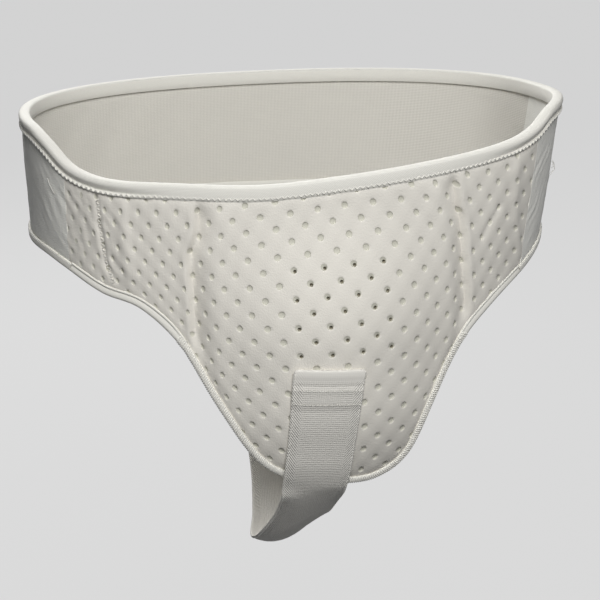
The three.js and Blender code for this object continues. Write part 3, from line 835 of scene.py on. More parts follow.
# Each ring is its radius, its height over the sheet's face, and its shift
lip = [(MOUTH + 1.3, 1.6, 0), (MOUTH + 0.35, 0.1, 0), (MOUTH, -0.12, 0)]
blind_punch = punch("blind punch", lip + [(BLIND_FLOOR + 0.3, -0.5, 0.1),
                                          (BLIND_FLOOR, -BLIND_DEPTH, 0.1)], FRONT_WALL)
open_punch = punch("open punch", lip + [(OPEN_THROAT + 0.45, -0.45, 0.3), (OPEN_THROAT, -0.85, 0.65),
                                        (OPEN_THROAT - 0.05, -2.0, 0.6),
                                        (OPEN_END, -FRONT_WALL - 1, -1.3)], OPEN_DARK_FROM)
front = grown(
    front, perforating_tree(), Wall=FRONT_WALL * MM, Finish=foam_laminate,
    Sheet=(SHEET_SIZE[0] * MM, SHEET_SIZE[1] * MM, FRONT_WALL * MM),
    Columns=SHEET_SIZE[0] // SHEET_CELL + 1, Rows=SHEET_SIZE[1] // SHEET_CELL + 1,
    Pitch=HOLE_PITCH * MM, **{
        "Row step": HOLE_ROW * MM, "Hole columns": PATTERN_COLUMNS, "Hole rows": PATTERN_ROWS,
        "Window middle": (WINDOW_MIDDLE[0] * MM, WINDOW_MIDDLE[1] * MM, 0),
        "Window half": (WINDOW_HALF[0] * MM, WINDOW_HALF[1] * MM, 0),
        "Blind punch": blind_punch, "Open punch": open_punch})
for tool in (blind_punch, open_punch):
    bpy.data.objects.remove(tool)
print("flat panel:", len(front.data.polygons), "faces")

# %% [markdown]
# ## Lay the cut panel on the body
# The flat panel's own places are its UV map, and they say where each point goes: how far round the
# hips, how high, and how far out. On the way the foam gets what sewing and wearing do to it. It is
# pressed thin under the bindings, it sinks round each perforation, and it puffs a little between.

# %% Lay it on the body
EDGE_PRESS, PRESS_WIDTH = 0.91, 2.6
DIMPLE_SINK, DIMPLE_WIDTH, SIDE_DIMPLE_SINK = 0.15, 3.2, 0.32
FLANK_AT, FLANK_TURN = 0.16, 0.1
PUFF, PUFF_FROM, PUFF_OVER, PUFF_END = 0.2, 3, 4, 12
FADE_FROM, FADE_OVER, FADE_SHARE = 0.29, 0.04, 0.75  # the holes grow shallow towards the sides
PRESS_TOP, PRESS_LOW = 8.5, 4.7  # how far the bindings press


def edge_distance(around, z):
    """The distance along the cloth to the belt's upper and lower edge, in millimetres."""
    e = 0.002
    away = []
    for edge, side in ((top_edge, 1), (lower_edge, -1)):
        rise = (edge(around + e) - edge(around - e)) / (2 * e * HALF_GIRTH)
        away.append((edge(around) - z) * side / np.hypot(1, rise))
    return away


def pressed(around, z, edges=EDGE_PRESS):
    """How much of its thickness the cloth keeps, being pressed under the bindings."""
    top, low = edge_distance(around, z)
    near = np.minimum(top - PRESS_TOP, low - PRESS_LOW)
    return mix(edges, 1, smooth(near / PRESS_WIDTH))


def lay_on_body(made):
    """Moves a mesh that was made flat onto the body, and keeps its flat places as its UV map."""
    mesh = made.data
    flat = np.zeros(len(mesh.vertices) * 3, np.float64)
    mesh.vertices.foreach_get("co", flat)
    x, y, n = (flat.reshape(-1, 3) / MM).T
    off = hole_offset(x, y)
    u, z = gathered(x, y)
    around = u / HALF_GIRTH
    blind = (n > 0.5 * FRONT_WALL) & (n < FRONT_WALL)
    fade = FADE_SHARE * smooth((np.abs(around) - FADE_FROM) / FADE_OVER)
    n = np.where(blind, mix(n, FRONT_WALL, fade), n)
    side = smooth((np.abs(around) - FLANK_AT) / FLANK_TURN)
    sink = mix(DIMPLE_SINK, SIDE_DIMPLE_SINK, side) * bump_at(off, 0, DIMPLE_WIDTH)
    to_end = np.minimum(around - SEAM_RIGHT, SEAM_LEFT - around) * HALF_GIRTH
    puff = PUFF * smooth((off - PUFF_FROM) / PUFF_OVER) * smooth(to_end / PUFF_END)
    keep = pressed(around, z)
    n = n * keep + (puff * smooth((keep - EDGE_PRESS) / (1 - EDGE_PRESS)) - sink) * n / FRONT_WALL
    mesh.vertices.foreach_set("co", (skin(around, z, n) * MM).ravel())
    layer = mesh.uv_layers.get("cloth") or mesh.uv_layers.new(name="cloth")
    corner = np.zeros(len(mesh.loops), np.int32)
    mesh.loops.foreach_get("vertex_index", corner)
    layer.data.foreach_set("uv", (np.stack([x, y], -1)[corner] * MM).astype(np.float32).ravel())
    shaded_smooth(mesh)
    mesh.set_sharp_from_angle(angle=SHARP)
    mesh.update()
    return turned_out(made)


lay_on_body(front)
piece(front, "front_panel")

# %% [markdown]
# ## The plain sides, the back and the tab
# Beside the perforated front each hip has a plain panel of brushed loop cloth on thin foam, and the
# back is one wide band of ribbed elastic. They are grids between the same two edges, with a little
# more thickness in their middle than under the bindings. The tab that fastens the belt lies on the
# back band, a plain piece with rounded corners, since the photograph doesn't show it.

# %% Sides and back
MID = FRONT_WALL / 2
SIDE_PRESS, JOIN_OVER = 0.75, 25  # a side starts as thick as the front, and thins over this length


def band(name, start, end, wall, finish, cell=3.0, rows=30, rough=0.0):
    """A panel of the band between two places round the hips."""
    length = (end - start) * HALF_GIRTH
    around = np.linspace(start + SEAM_END, end - SEAM_END, int(length / cell))[:, None]
    share = np.linspace(0, 1, rows)[None, :]
    z = mix(lower_edge(around) + INSET, top_edge(around) - INSET, share)
    around = np.broadcast_to(around, z.shape)
    keep = pressed(around, z, edges=SIDE_PRESS)
    u = around * HALF_GIRTH
    fuzz = rough * (np.sin(u / 2.9 + np.sin(z / 4)) * np.sin(z / 3.3 + np.sin(u / 5.1)))
    from_front = np.minimum(np.abs(wrap(around) - SEAM_LEFT), np.abs(wrap(around) - SEAM_RIGHT))
    full = mix(FRONT_WALL / 2, wall / 2, smooth(from_front * HALF_GIRTH / JOIN_OVER))
    fuzz = fuzz * (keep - SIDE_PRESS) / (1 - SIDE_PRESS)
    outside = skin(around, z, MID + full * keep + fuzz)
    inside = skin(around, z, MID - wall / 2 * keep)
    made = sheet(name, outside, inside, np.stack([z, u], -1))
    made.data.set_sharp_from_angle(angle=SHARP)
    made.data.materials.append(finish)
    width = top_edge(around[:, 0]) - lower_edge(around[:, 0]) - 2 * INSET
    piece(made, name.rsplit("_", 1)[0])
    return made


band("side_panel_right_cloth", 2 - BACK_SEAM, 2 + SEAM_RIGHT, SIDE_WALL, brushed_loop,
     cell=1.5, rows=56, rough=0.12)
band("side_panel_left_cloth", SEAM_LEFT, BACK_SEAM, SIDE_WALL, brushed_loop,
     cell=1.5, rows=60, rough=0.12)
back = band("back_band_elastic", BACK_SEAM, 2 - BACK_SEAM, BACK_WALL, back_elastic)

# %% The tab
TAB_WALL, TAB_INSET, TAB_FROM, TAB_TO, TAB_CUT = 1.8, 9, 0.6, 0.76, 66
TAB_CORNER, TAB_HALF_HEIGHT, TAB_RIM, TAB_CELLS = 9, 34, 1.2, 45
TAB_SEWN, TAB_SEWN_DEPTH, TAB_SEWN_WIDTH = 3.5, 0.35, 0.9  # the pressed line along its edge
TAB_WIDTH = (TAB_TO - TAB_FROM) * HALF_GIRTH
BACK_OUT = MID + BACK_WALL / 2


def rounded(p, q, width, height, radius):
    """Grid places -1 to 1 on a rectangle, with its corners drawn in to round ones."""
    x, y = p * width / 2, q * height / 2
    cx, cy = np.abs(x) - (width / 2 - radius), np.abs(y) - (height / 2 - radius)
    corner = (cx > 0) & (cy > 0)
    s, t = np.clip(cx / radius, 0, 1), np.clip(cy / radius, 0, 1)
    rx = np.sign(x) * (width / 2 - radius + radius * s * np.sqrt(1 - t * t / 2))
    ry = np.sign(y) * (height / 2 - radius + radius * t * np.sqrt(1 - s * s / 2))
    return np.where(corner, rx, x), np.where(corner, ry, y)


def rim_round(distance, radius, least=0.2):
    """How thick a cloth's edge is near its rim, as a share, so that the edge comes out round."""
    t = np.clip(1 - distance / radius, 0, 1)
    return np.maximum(np.sqrt(1 - t * t), least)


def tab_place(p, q, out):
    """A place on the tab: p along it and q up it, both from -1 to 1."""
    middle = (TAB_FROM + TAB_TO) / 2
    high, low = top_edge(middle) - TAB_INSET, lower_edge(middle) + TAB_INSET
    x, y = rounded(p, q, TAB_WIDTH, high - low, TAB_CORNER)
    return skin(middle + x / HALF_GIRTH, (high + low) / 2 + y, out), x, y


closer_at_rim = np.sin(np.linspace(-1, 1, TAB_CELLS) * math.pi / 2)
p, q = np.meshgrid(closer_at_rim, closer_at_rim, indexing="ij")
tab_edge = np.minimum((1 - np.abs(p)) * TAB_WIDTH / 2, (1 - np.abs(q)) * TAB_HALF_HEIGHT)
tab_thick = TAB_WALL * rim_round(tab_edge, TAB_RIM)
tab_thick = tab_thick - TAB_SEWN_DEPTH * bump_at(tab_edge, TAB_SEWN, TAB_SEWN_WIDTH)
tab_middle = BACK_OUT + 2 * GAP + TAB_WALL / 2
outside, x, y = tab_place(p, q, tab_middle + tab_thick / 2)
inside, _, _ = tab_place(p, q, tab_middle - tab_thick / 2)
tab = sheet("fastening_tab_hook", outside, inside, np.stack([x, y], -1))
tab.data.materials.append(hook_tape)
piece(tab, "fastening_tab")

# %% [markdown]
# ## The bindings
# A folded elastic is sewn over every edge. The upper one lies flat in the middle of the front and
# rolls into a soft tube towards the hips, with a groove and the sewing's thin cord below it. Under the
# pouch the lower one is a narrow bead, wrapped by its stitches, and on the flanks a smooth band. The
# sides and the back have a plain, wider one. Each section is a U round the cloth, written as points
# in from the edge and out of the body. Each station along the edge places those points, and the
# section may change on the way.

# %% The folded section
LEG_UNDER, LEG_INSIDE, FOLD_ROUND = 3.05, -0.35, 1.5
FLAT_HEIGHT, ROLLED_HEIGHT, BEAD_HEIGHT, FLANK_HEIGHT, PLAIN_HEIGHT = 9.2, 8.8, 4.4, 6.2, 5.2
ROLL_FROM, ROLL_OVER = 0.19, 0.1
POUCH_MIDDLE, POUCH_HALF, POUCH_OVER = 0.01, 0.19, 0.04


def folded_section(height, outer, under=LEG_UNDER):
    """A U-section. outer(inwards) gives how far the outer face stands out. Points are (in, out)."""
    inside, wall = LEG_INSIDE, BINDING_WALL
    down = np.linspace(height, FOLD_ROUND, 16)
    face = np.stack([down, outer(down)], -1)
    high, low = outer(np.array([FOLD_ROUND]))[0], inside - wall
    turn = np.linspace(0, math.pi, 9)[1:-1]
    centre, reach = (high + low) / 2, (high - low) / 2
    fold = np.stack([FOLD_ROUND * (1 - np.sin(turn) ** 0.8), centre + reach * np.cos(turn)], -1)
    back_leg = np.array([[FOLD_ROUND, low], [height * 0.55, low - 0.1], [height - 0.6, low + 0.1],
                         [height, low + 0.5], [height - 0.1, inside]])
    hollow = np.array([[height * 0.5, inside], [wall + 0.4, inside], [wall, inside + 0.6],
                       [wall, under - 0.6], [wall + 0.4, under], [height * 0.5, under],
                       [height - 0.1, under]])
    return np.concatenate([face, fold, back_leg, hollow])


def flat_face(v):
    """The flat elastic: a low crown, and a thin end where it is sewn."""
    return 4.3 + 0.3 * np.sin(np.clip(v / 9, 0, 1) * math.pi) - 0.5 * smooth((v - 7.6) / 1.6)


def rolled_face(v):
    """The rolled elastic: a tube, a groove and the cord of the sewing."""
    return 4.0 + 1.2 * bump_at(v, 2.6, 2.4) + 0.75 * bump_at(v, 7.9, 0.7) - 0.3 * bump_at(v, 6.2, 0.8)


def bead_face(v):
    """The narrow binding under the front: one round bead."""
    return 3.5 + 1.75 * np.sqrt(np.clip(1 - ((v - 1.9) / 2.9) ** 2, 0, 1))


def flank_face(v):
    """The front's lower binding on the flanks: a smooth band, a groove and a cord."""
    return 4.05 + 0.85 * bump_at(v, 2.0, 1.9) + 0.55 * bump_at(v, 5.5, 0.55) - 0.25 * bump_at(v, 4.5, 0.5)


def plain_face(v):
    """The wider binding of the sides and the back."""
    return 4.2 + 0.75 * np.sin(np.clip((v + 0.6) / 6.2, 0, 1) * math.pi) ** 0.7


def edge_binding(name, edge, around, section_at, closed=False):
    """A binding carried along an edge, and its length. section_at gives each station's section."""
    section = section_at(around)
    places, z = from_edge(edge, around[:, None], section[..., 0])
    rings = skin(places, z, section[..., 1])
    steps = np.linalg.norm(np.diff(rings.mean(1), axis=0), axis=1)
    along = np.concatenate([[0], np.cumsum(steps)])
    if closed:
        along = np.append(along, along[-1] + steps.mean())
    made = swept(name, rings, along, closed)
    made.data.materials.append(folded_elastic)
    made.data.set_sharp_from_angle(angle=BINDING_SHARP)
    print(f"{name}: {along[-1]:.0f} mm along")
    return piece(made, name.rsplit("_", 1)[0]), along[-1]


def hugging(around):
    """1 where the upper binding is rolled, 0 where it lies flat in the front's middle."""
    return smooth((np.abs(wrap(around)) - ROLL_FROM) / ROLL_OVER)


def top_section(around):
    """The upper binding's sections, flat in the middle of the front and rolled elsewhere."""
    flat = folded_section(FLAT_HEIGHT, flat_face)
    rolled = folded_section(ROLLED_HEIGHT, rolled_face)
    return mix(flat[None], rolled[None], hugging(around)[:, None, None])


def on_flank(around):
    """1 where the front's lower binding lies smooth on the flanks, 0 round the pouch."""
    return smooth((np.abs(around - POUCH_MIDDLE) - POUCH_HALF) / POUCH_OVER)


def lower_section(around):
    """The front's lower sections, a bead round the pouch and a band on the flanks."""
    round_pouch = folded_section(BEAD_HEIGHT, bead_face)
    smooth_band = folded_section(FLANK_HEIGHT, flank_face)
    return mix(round_pouch[None], smooth_band[None], on_flank(around)[:, None, None])


def plain_section(around):
    """The sections of the sides and the back, all alike."""
    return np.repeat(folded_section(PLAIN_HEIGHT, plain_face, under=3.3)[None], len(around), 0)


# %% Bind the edges
ends = GAP / 2 / HALF_GIRTH
all_round = np.linspace(-1, 1, 561)[:-1]
top_binding, top_length = edge_binding(
    "top_binding_elastic", top_edge, all_round, top_section, closed=True)
front_run = np.linspace(SEAM_RIGHT + ends, SEAM_LEFT - ends, 330)
bead, bead_length = edge_binding(
    "lower_binding_front_elastic", lower_edge, front_run, lower_section)
back_run = np.linspace(SEAM_LEFT + ends, 2 + SEAM_RIGHT - ends, 330)
plain_binding, plain_length = edge_binding(
    "lower_binding_back_elastic", lower_edge, back_run, plain_section)

# %% [markdown]
# ## The strap between the legs
# The strap is sewn on the pouch with a folded hem, crosses its lower edge, hangs free between the
# legs where it is drawn in and cups, and comes up over the back band. A few rows across it say where
# it is, in the order in which it runs, and a smooth curve through them gives the fine mesh. The hem,
# the rounded edges and the selvedges are thickness laid over those rows afterwards.

# %% The strap's sizes and its run
STRAP_WIDTH, STRAP_WALL, HEM_LENGTH = 41, 1.4, 23
STRAP_TOP_DROP, STRAP_TOP_SIDE, STRAP_LOW_SIDE = 89, -1, -7.5
CROTCH_DROP, STRAP_BACK_OVERLAP = 76, 34
STRAP_TILT, STRAP_DRAWN = 0.065, 0.94
STRAP_RUN = np.array([  # back, down, side, cupped, rolled
    (0.075, 0.36, -13.5, 40, -6), (0.17, 0.68, -19, 85, -14), (0.28, 0.88, -19, 105, -16),
    (0.45, 1.0, -11, 95, -8), (0.66, 0.93, -3, 70, 0), (0.86, 0.55, 1, 35, 0),
    (0.965, -0.1, 1, 10, 0),
])
OVER_PANEL = FRONT_WALL + GAP
OVER_BINDING = FRONT_WALL + 4 * GAP + BINDING_WALL
OVER_BACK = BACK_OUT + 2 * GAP + BINDING_WALL + 1
EDGE_PAST, ROUTE_LEAD = 1, 12  # how far past the edge the free run starts, and the point before it


def share_of(length):
    """A length round the hips from the front's middle, as a share."""
    return (length - CUP_MIDDLE) / HALF_GIRTH


strap_top = -STRAP_TOP_DROP
strap_low = float(lower_edge(STRAP_LOW_SIDE / HALF_GIRTH)) - EDGE_PAST
back_low = float(lower_edge(1.0)) - 2 * EDGE_PAST
front_end = skin(np.array(share_of(STRAP_LOW_SIDE)), np.array(strap_low), OVER_BINDING)
back_end = skin(np.array(1.0), np.array(back_low), OVER_BACK)
run = np.stack([STRAP_RUN[:, 2], mix(front_end[1], back_end[1], STRAP_RUN[:, 0]),
                strap_low - CROTCH_DROP * STRAP_RUN[:, 1]], -1)
near_front = skin(np.array(share_of(STRAP_LOW_SIDE)), np.array(strap_low + ROUTE_LEAD), OVER_BINDING)
near_back = skin(np.array(1.0), np.array(back_low + ROUTE_LEAD), OVER_BACK)
ROUTE = np.concatenate([[near_front, front_end], run, [back_end, near_back]])


def on_route(at):
    """A point of the centripetal curve through the route, for a share of it."""
    last = len(ROUTE) - 1
    k = min(int(at * last), last - 1)
    t = at * last - k
    p1, p2 = ROUTE[k], ROUTE[k + 1]
    p0 = ROUTE[k - 1] if k else 2 * p1 - p2
    p3 = ROUTE[k + 2] if k + 2 <= last else 2 * p2 - p1
    d0, d1, d2 = (np.sqrt(np.linalg.norm(b - a)) for a, b in ((p0, p1), (p1, p2), (p2, p3)))
    m1 = ((p1 - p0) / d0 - (p2 - p0) / (d0 + d1) + (p2 - p1) / d1) * d1
    m2 = ((p2 - p1) / d1 - (p3 - p1) / (d1 + d2) + (p3 - p2) / d2) * d1
    return p1 + m1 * t + (3 * (p2 - p1) - 2 * m1 - m2) * t**2 + (2 * (p1 - p2) + m1 + m2) * t**3


ACROSS = STRAP_WIDTH / 2 * np.sin(np.linspace(-1, 1, 31) * math.pi / 2)


def row_on_front(t):
    """A row of the strap where it lies on the pouch: its inner points and the way out."""
    around = share_of(mix(STRAP_TOP_SIDE, STRAP_LOW_SIDE, t) + ACROSS * mix(1.04, STRAP_DRAWN, t))
    lift = mix(OVER_PANEL, OVER_BINDING, smooth((t - 0.6) / 0.3))
    heights = mix(strap_top, strap_low, t) - STRAP_TILT * ACROSS
    return skin(around, heights, lift), slopes(around, heights)[2]


def row_on_back(t):
    """A row where the strap lies on the back band."""
    heights = np.full(ACROSS.shape, mix(back_low, back_low + STRAP_BACK_OVERLAP, t))
    around = 1 - ACROSS / HALF_GIRTH
    return skin(around, heights, OVER_BACK), slopes(around, heights)[2]


def row_free(t):
    """A row of the free run between the legs, cupped and rolled as the table says."""
    spans = len(STRAP_RUN) + 3
    at = (1 + t * (spans - 2)) / spans
    centre = on_route(at)
    tangent = unit(on_route(at + 1e-4) - on_route(at - 1e-4))
    row = np.clip(t * (spans - 2) - 1, -1, len(STRAP_RUN))
    k = int(math.floor(row))
    padded_run = np.concatenate([np.zeros((1, 5)), STRAP_RUN, np.zeros((2, 5))])
    cupped, rolled = np.radians(mix(padded_run[k + 1], padded_run[k + 2], smooth(row - k))[3:])
    across = unit(np.array([1.0, 0, 0]) - tangent * tangent[0])
    side = np.cross(tangent, across)
    across = across * math.cos(rolled) + side * math.sin(rolled)
    out = unit(np.cross(tangent, across))
    bend = max(cupped, 1e-3) / STRAP_WIDTH
    turn = (bend * ACROSS * mix(STRAP_DRAWN, 1, smooth(t * 2)))[:, None]
    point_tilt = STRAP_TILT * (1 - smooth(t * 8)) * ACROSS[:, None]
    point = centre + across * np.sin(turn) / bend - out * (1 - np.cos(turn)) / bend
    point = point + tangent * point_tilt
    return point, out * np.cos(turn) + across * np.sin(turn)


rows = [row_on_front(t) for t in (0, .02, .1, .2, .28, .31, .4, .5, .6, .7, .8, .9, 1)]
rows += [row_free(k / 26) for k in range(1, 26)] + [row_on_back(t) for t in (0, .25, .5, .75, 1)]
row_points, row_outs = (np.array(v) for v in zip(*rows))
centre_steps = np.linalg.norm(np.diff(row_points[:, 15], axis=0), axis=1)
row_lengths = np.concatenate([[0], np.cumsum(centre_steps)])
STRAP_LENGTH = row_lengths[-1]
print(f"strap: {STRAP_LENGTH:.0f} mm long from hem to end")

# %% The strap's mesh
HEM_ROLL, HEM_GROOVE, HEM_STITCH, HEM_CORD = 3.4, 9.4, 21.0, 12.4
HEM_SECOND, HEM_PAST, HEM_OVER = 0.7, 3, 7  # the second layer's share, and where it thins out
SELVEDGE, SELVEDGE_WIDTH, STRAP_CORNER = 0.1, 4.5, 2.6


def hem_share(down):
    """The hem's second layer, pressed flat, as a share of the webbing's thickness."""
    return HEM_SECOND * smooth((HEM_LENGTH + HEM_PAST - down) / HEM_OVER)


def strap_middle(down):
    """How far the strap's middle stands out of its run, since the hem lies double."""
    return STRAP_WALL * (1 + hem_share(down)) / 2


def strap_place(down, across, out):
    """A place on the strap: millimetres from its top, from its middle line, and out of it."""
    down, across = np.broadcast_arrays(np.asarray(down, float), np.asarray(across, float))
    points = look_through(row_lengths, row_points, down.ravel())
    outs = look_through(row_lengths, row_outs, down.ravel())
    column = np.interp(across.ravel(), ACROSS, np.arange(len(ACROSS)))
    k = np.clip(column.astype(int), 0, len(ACROSS) - 2)
    f = (column - k)[:, None]
    index = np.arange(len(k))
    point = mix(points[index, k], points[index, k + 1], f)
    away = unit(mix(outs[index, k], outs[index, k + 1], f))
    made = point + away * np.broadcast_to(out, down.shape).ravel()[:, None]
    return made.reshape(*down.shape, 3)


def strap_thickness(down, across):
    """The webbing's thickness: doubled in the hem, rounded at its rim, pressed by the stitches."""
    hem = 1 + hem_share(down)
    hem = hem + 0.5 * bump_at(down, HEM_ROLL, 2.6) - 0.5 * bump_at(down, HEM_GROOVE, 1.3)
    hem = hem + 0.35 * bump_at(down, HEM_CORD, 1.9)
    rim = np.minimum(STRAP_WIDTH / 2 - np.abs(across), np.minimum(down, STRAP_LENGTH - down))
    selvedge = SELVEDGE * smooth((np.abs(across) - (STRAP_WIDTH / 2 - SELVEDGE_WIDTH)) / 0.6)
    return STRAP_WALL * (hem + selvedge) * rim_round(rim, 1.0, 0.35)


rim_steps = np.array([0, 0.15, 0.4, 0.8, 1.3])
down_steps = np.concatenate([rim_steps, np.arange(2, 27, 0.6), np.arange(27, STRAP_LENGTH - 2, 1.6),
                             STRAP_LENGTH - rim_steps[::-1]])
p, q = np.meshgrid(down_steps, ACROSS, indexing="ij")
from_corner = np.clip(STRAP_CORNER - p, 0, STRAP_CORNER)
drawn = STRAP_CORNER - np.sqrt(STRAP_CORNER**2 - from_corner**2)
across = q * (1 - drawn / (STRAP_WIDTH / 2))
thick = strap_thickness(p, q)
strap = sheet("crotch_strap_webbing", strap_place(p, across, strap_middle(p) + thick / 2),
              strap_place(p, across, strap_middle(p) - thick / 2), np.stack([p, across], -1))
strap.data.materials.append(webbing)
piece(strap, "crotch_strap")

# %% [markdown]
# ## Stitches
# A row of stitches is one short thread repeated along a line. The line is a chain of points that
# each know their way out of the cloth. The tree steps along it by the stitch's length, turns each
# thread to the line and to the cloth, swings every other one the other way where the row is a zigzag,
# and joins them into one mesh. The wraps of the bead under the pouch are the same tree with a longer
# thread, bent round it. A few loose ends, each a thread of its own, lie on the plain sides.

# %% The sewing tree


def sewing_tree():
    """The tree, with the stitch's length, its swing, its shape and its thread as inputs."""
    tree, given, result = tree_with("sewing", Float=("Step", "Swing"), Object=("Stitch",),
                                    Material=("Finish",))
    g = given.outputs
    line = add(tree, "GeometryNodeMeshToCurve", Mesh=g["Geometry"])
    places = add(tree, "GeometryNodeCurveToPoints", {"mode": "LENGTH"}, Curve=line.outputs[0],
                 Length=g["Step"])
    outwards = add(tree, "GeometryNodeInputNamedAttribute", {"data_type": "FLOAT_VECTOR"},
                   Name="outwards")
    ahead = add(tree, "FunctionNodeAlignRotationToVector", {"axis": "X"},
                Vector=places.outputs["Tangent"])
    upright = add(tree, "FunctionNodeAlignRotationToVector", {"axis": "Z", "pivot_axis": "X"},
                  Rotation=ahead.outputs[0], Vector=outwards.outputs[0])
    odd = formula(tree, "FLOORED_MODULO", add(tree, "GeometryNodeInputIndex").outputs[0], 2.0)
    side = formula(tree, "SUBTRACT", ("MULTIPLY", odd, 2.0), 1.0)
    swing = add(tree, "ShaderNodeCombineXYZ", Z=formula(tree, "MULTIPLY", side, g["Swing"]))
    turned = add(tree, "FunctionNodeRotateRotation", {"rotation_space": "LOCAL"},
                 Rotation=upright.outputs[0], Rotate_By=swing.outputs[0])
    shape = add(tree, "GeometryNodeObjectInfo", Object=g["Stitch"])
    laid = add(tree, "GeometryNodeInstanceOnPoints", Points=places.outputs["Points"],
               Instance=shape.outputs["Geometry"], Rotation=turned.outputs[0])
    real = add(tree, "GeometryNodeRealizeInstances", Geometry=laid.outputs[0])
    finished = add(tree, "GeometryNodeSetMaterial", Geometry=real.outputs[0], Material=g["Finish"])
    tree.links.new(finished.outputs[0], result.inputs[0])
    return tree


def tube(name, line, radius, sides=6):
    """A closed thread along a line of points, in millimetres."""
    line = np.asarray(line, float)
    ahead = unit(np.gradient(line, axis=0))
    side = unit(np.cross(ahead, np.array([0.13, 0.94, 0.31])))
    up = np.cross(ahead, side)
    turn = np.linspace(0, 2 * math.pi, sides, endpoint=False)
    radii = np.broadcast_to(radius, len(line))
    ring = side[:, None] * np.cos(turn)[:, None] + up[:, None] * np.sin(turn)[:, None]
    rings = line[:, None] + ring * radii[:, None, None]
    return swept(name, rings, np.linspace(0, 1, len(line)), False)


def stitch(length, radius, arch):
    """One stitch: a short thread along x that dives into the cloth at its two ends."""
    t = np.linspace(-1, 1, 7)
    line = np.stack([t * length / 2, t * 0, arch * (1 - t**2) - arch * 0.35], -1)
    return tube("one stitch", line, radius * (0.55 + 0.45 * np.sqrt(1 - t**2)))


SEWING = sewing_tree()


def sewn(name, lines, step, shape, swing=0.0):
    """Sews along lines, each a pair of points and ways out of the cloth, in millimetres."""
    points = np.concatenate([line for line, _ in lines])
    outs = np.concatenate([out for _, out in lines])
    edges, start = [], 0
    for line, _ in lines:
        edges += [(start + k, start + k + 1) for k in range(len(line) - 1)]
        start += len(line)
    mesh = bpy.data.meshes.new(name)
    mesh.from_pydata((points * MM).tolist(), edges, [])
    layer = mesh.attributes.new("outwards", "FLOAT_VECTOR", "POINT")
    layer.data.foreach_set("vector", outs.astype(np.float32).ravel())
    made = in_scene(name, mesh)
    grown(made, SEWING, Step=step * MM, Swing=math.radians(swing), Stitch=shape, Finish=thread)
    shaded_smooth(made.data)
    bpy.data.objects.remove(shape)
    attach(made, "root")
    return counted(made)


def along_skin(around, z, out):
    """A line on the belt, with its ways out."""
    around, z = np.broadcast_arrays(around, z)
    return skin(around, z, out), slopes(around, z)[2]


def along_edge(edge, around, inwards, out):
    """A line on the belt at an even distance in from an edge, with its ways out."""
    places, z = from_edge(edge, around[:, None], np.full((len(around), 1), inwards))
    line, outs = along_skin(places, z, out)
    return line[:, 0], outs[:, 0]


# %% Sew the bindings
TOP_ROW_IN, TOP_ROW_FLAT, TOP_ROW_ROLLED = 7.4, 4.38, 4.85
LOW_ROW_IN, LOW_ROW_OUT = 4.5, 4.62
height = mix(TOP_ROW_FLAT, TOP_ROW_ROLLED, hugging(all_round))[:, None]
top_row = sewn("top_binding_stitches",
               [along_edge(top_edge, all_round, TOP_ROW_IN, height)], step=1.6,
               shape=stitch(length=2.7, radius=0.27, arch=0.4), swing=50)
low_row = sewn("lower_binding_back_stitches",
               [along_edge(lower_edge, back_run, LOW_ROW_IN, LOW_ROW_OUT)], step=2.1,
               shape=stitch(length=1.9, radius=0.2, arch=0.25), swing=12)

# %% Sew the seam in the front's right flank and the strap
SEAM_STITCH_FROM, SEAM_STITCH_TO = 4.0, -43.0
ROW_FROM_RIM, END_ROW, SECOND_END_ROW = 1.1, 6, 24
z = np.linspace(SEAM_STITCH_FROM, SEAM_STITCH_TO, 60)
line, outs = along_skin(look(SEAM_LINE, z), z, FRONT_WALL + 0.25)
sewn("front_seam_stitches", [(line, outs)], step=1.7,
     shape=stitch(length=2.6, radius=0.26, arch=0.5), swing=56)


def across_strap(down, half_width):
    """A line across the strap, on its outer face."""
    across = np.linspace(-half_width, half_width, 30)
    out = strap_middle(down) + strap_thickness(down, across) / 2
    line = strap_place(np.full(30, down), across, out + 0.05)
    return line, unit(strap_place(np.full(30, down), across, out + 2) - line)


def down_strap(start, end, across):
    """A line along the strap, on its outer face."""
    down = np.arange(start, end, 2.0)
    out = strap_middle(down) + strap_thickness(down, across) / 2
    line = strap_place(down, np.full(down.shape, across), out - 0.02)
    return line, unit(strap_place(down, np.full(down.shape, across), out + 2) - line)


rim = STRAP_WIDTH / 2 - ROW_FROM_RIM
strap_rows = [across_strap(HEM_CORD, rim - 0.6), across_strap(HEM_STITCH, rim - 0.6),
              across_strap(STRAP_LENGTH - END_ROW, rim - 1),
              across_strap(STRAP_LENGTH - SECOND_END_ROW, rim - 1),
              down_strap(1.5, STRAP_LENGTH - 2, rim), down_strap(1.5, STRAP_LENGTH - 2, -rim)]
strap_row = sewn("crotch_strap_stitches", strap_rows, step=1.7,
                 shape=stitch(length=1.6, radius=0.19, arch=0.2), swing=16)

# %% Loose thread ends on the plain sides
LOOSE_ENDS = [  # the share round the hips and the height of each end, and the height of the arch
    ((-0.385, 11.5), (-0.372, 3.5), 0.5), ((0.398, 7), (0.404, 1.5), 1.6),
    ((0.399, 4.5), (0.407, -1.5), 2.2), ((0.402, 6), (0.401, -2.5), 1.9),
]
t = np.linspace(0, 1, 12)
for number, (start_at, end_at, arch) in enumerate(LOOSE_ENDS):
    line, _ = along_skin(mix(start_at[0], end_at[0], t), mix(start_at[1], end_at[1], t),
                         FRONT_WALL + 0.1 + 4 * arch * t * (1 - t))
    thread_end = tube(f"loose_thread_{number}", line, radius=0.17)
    thread_end.data.materials.append(thread)
    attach(thread_end, "root")

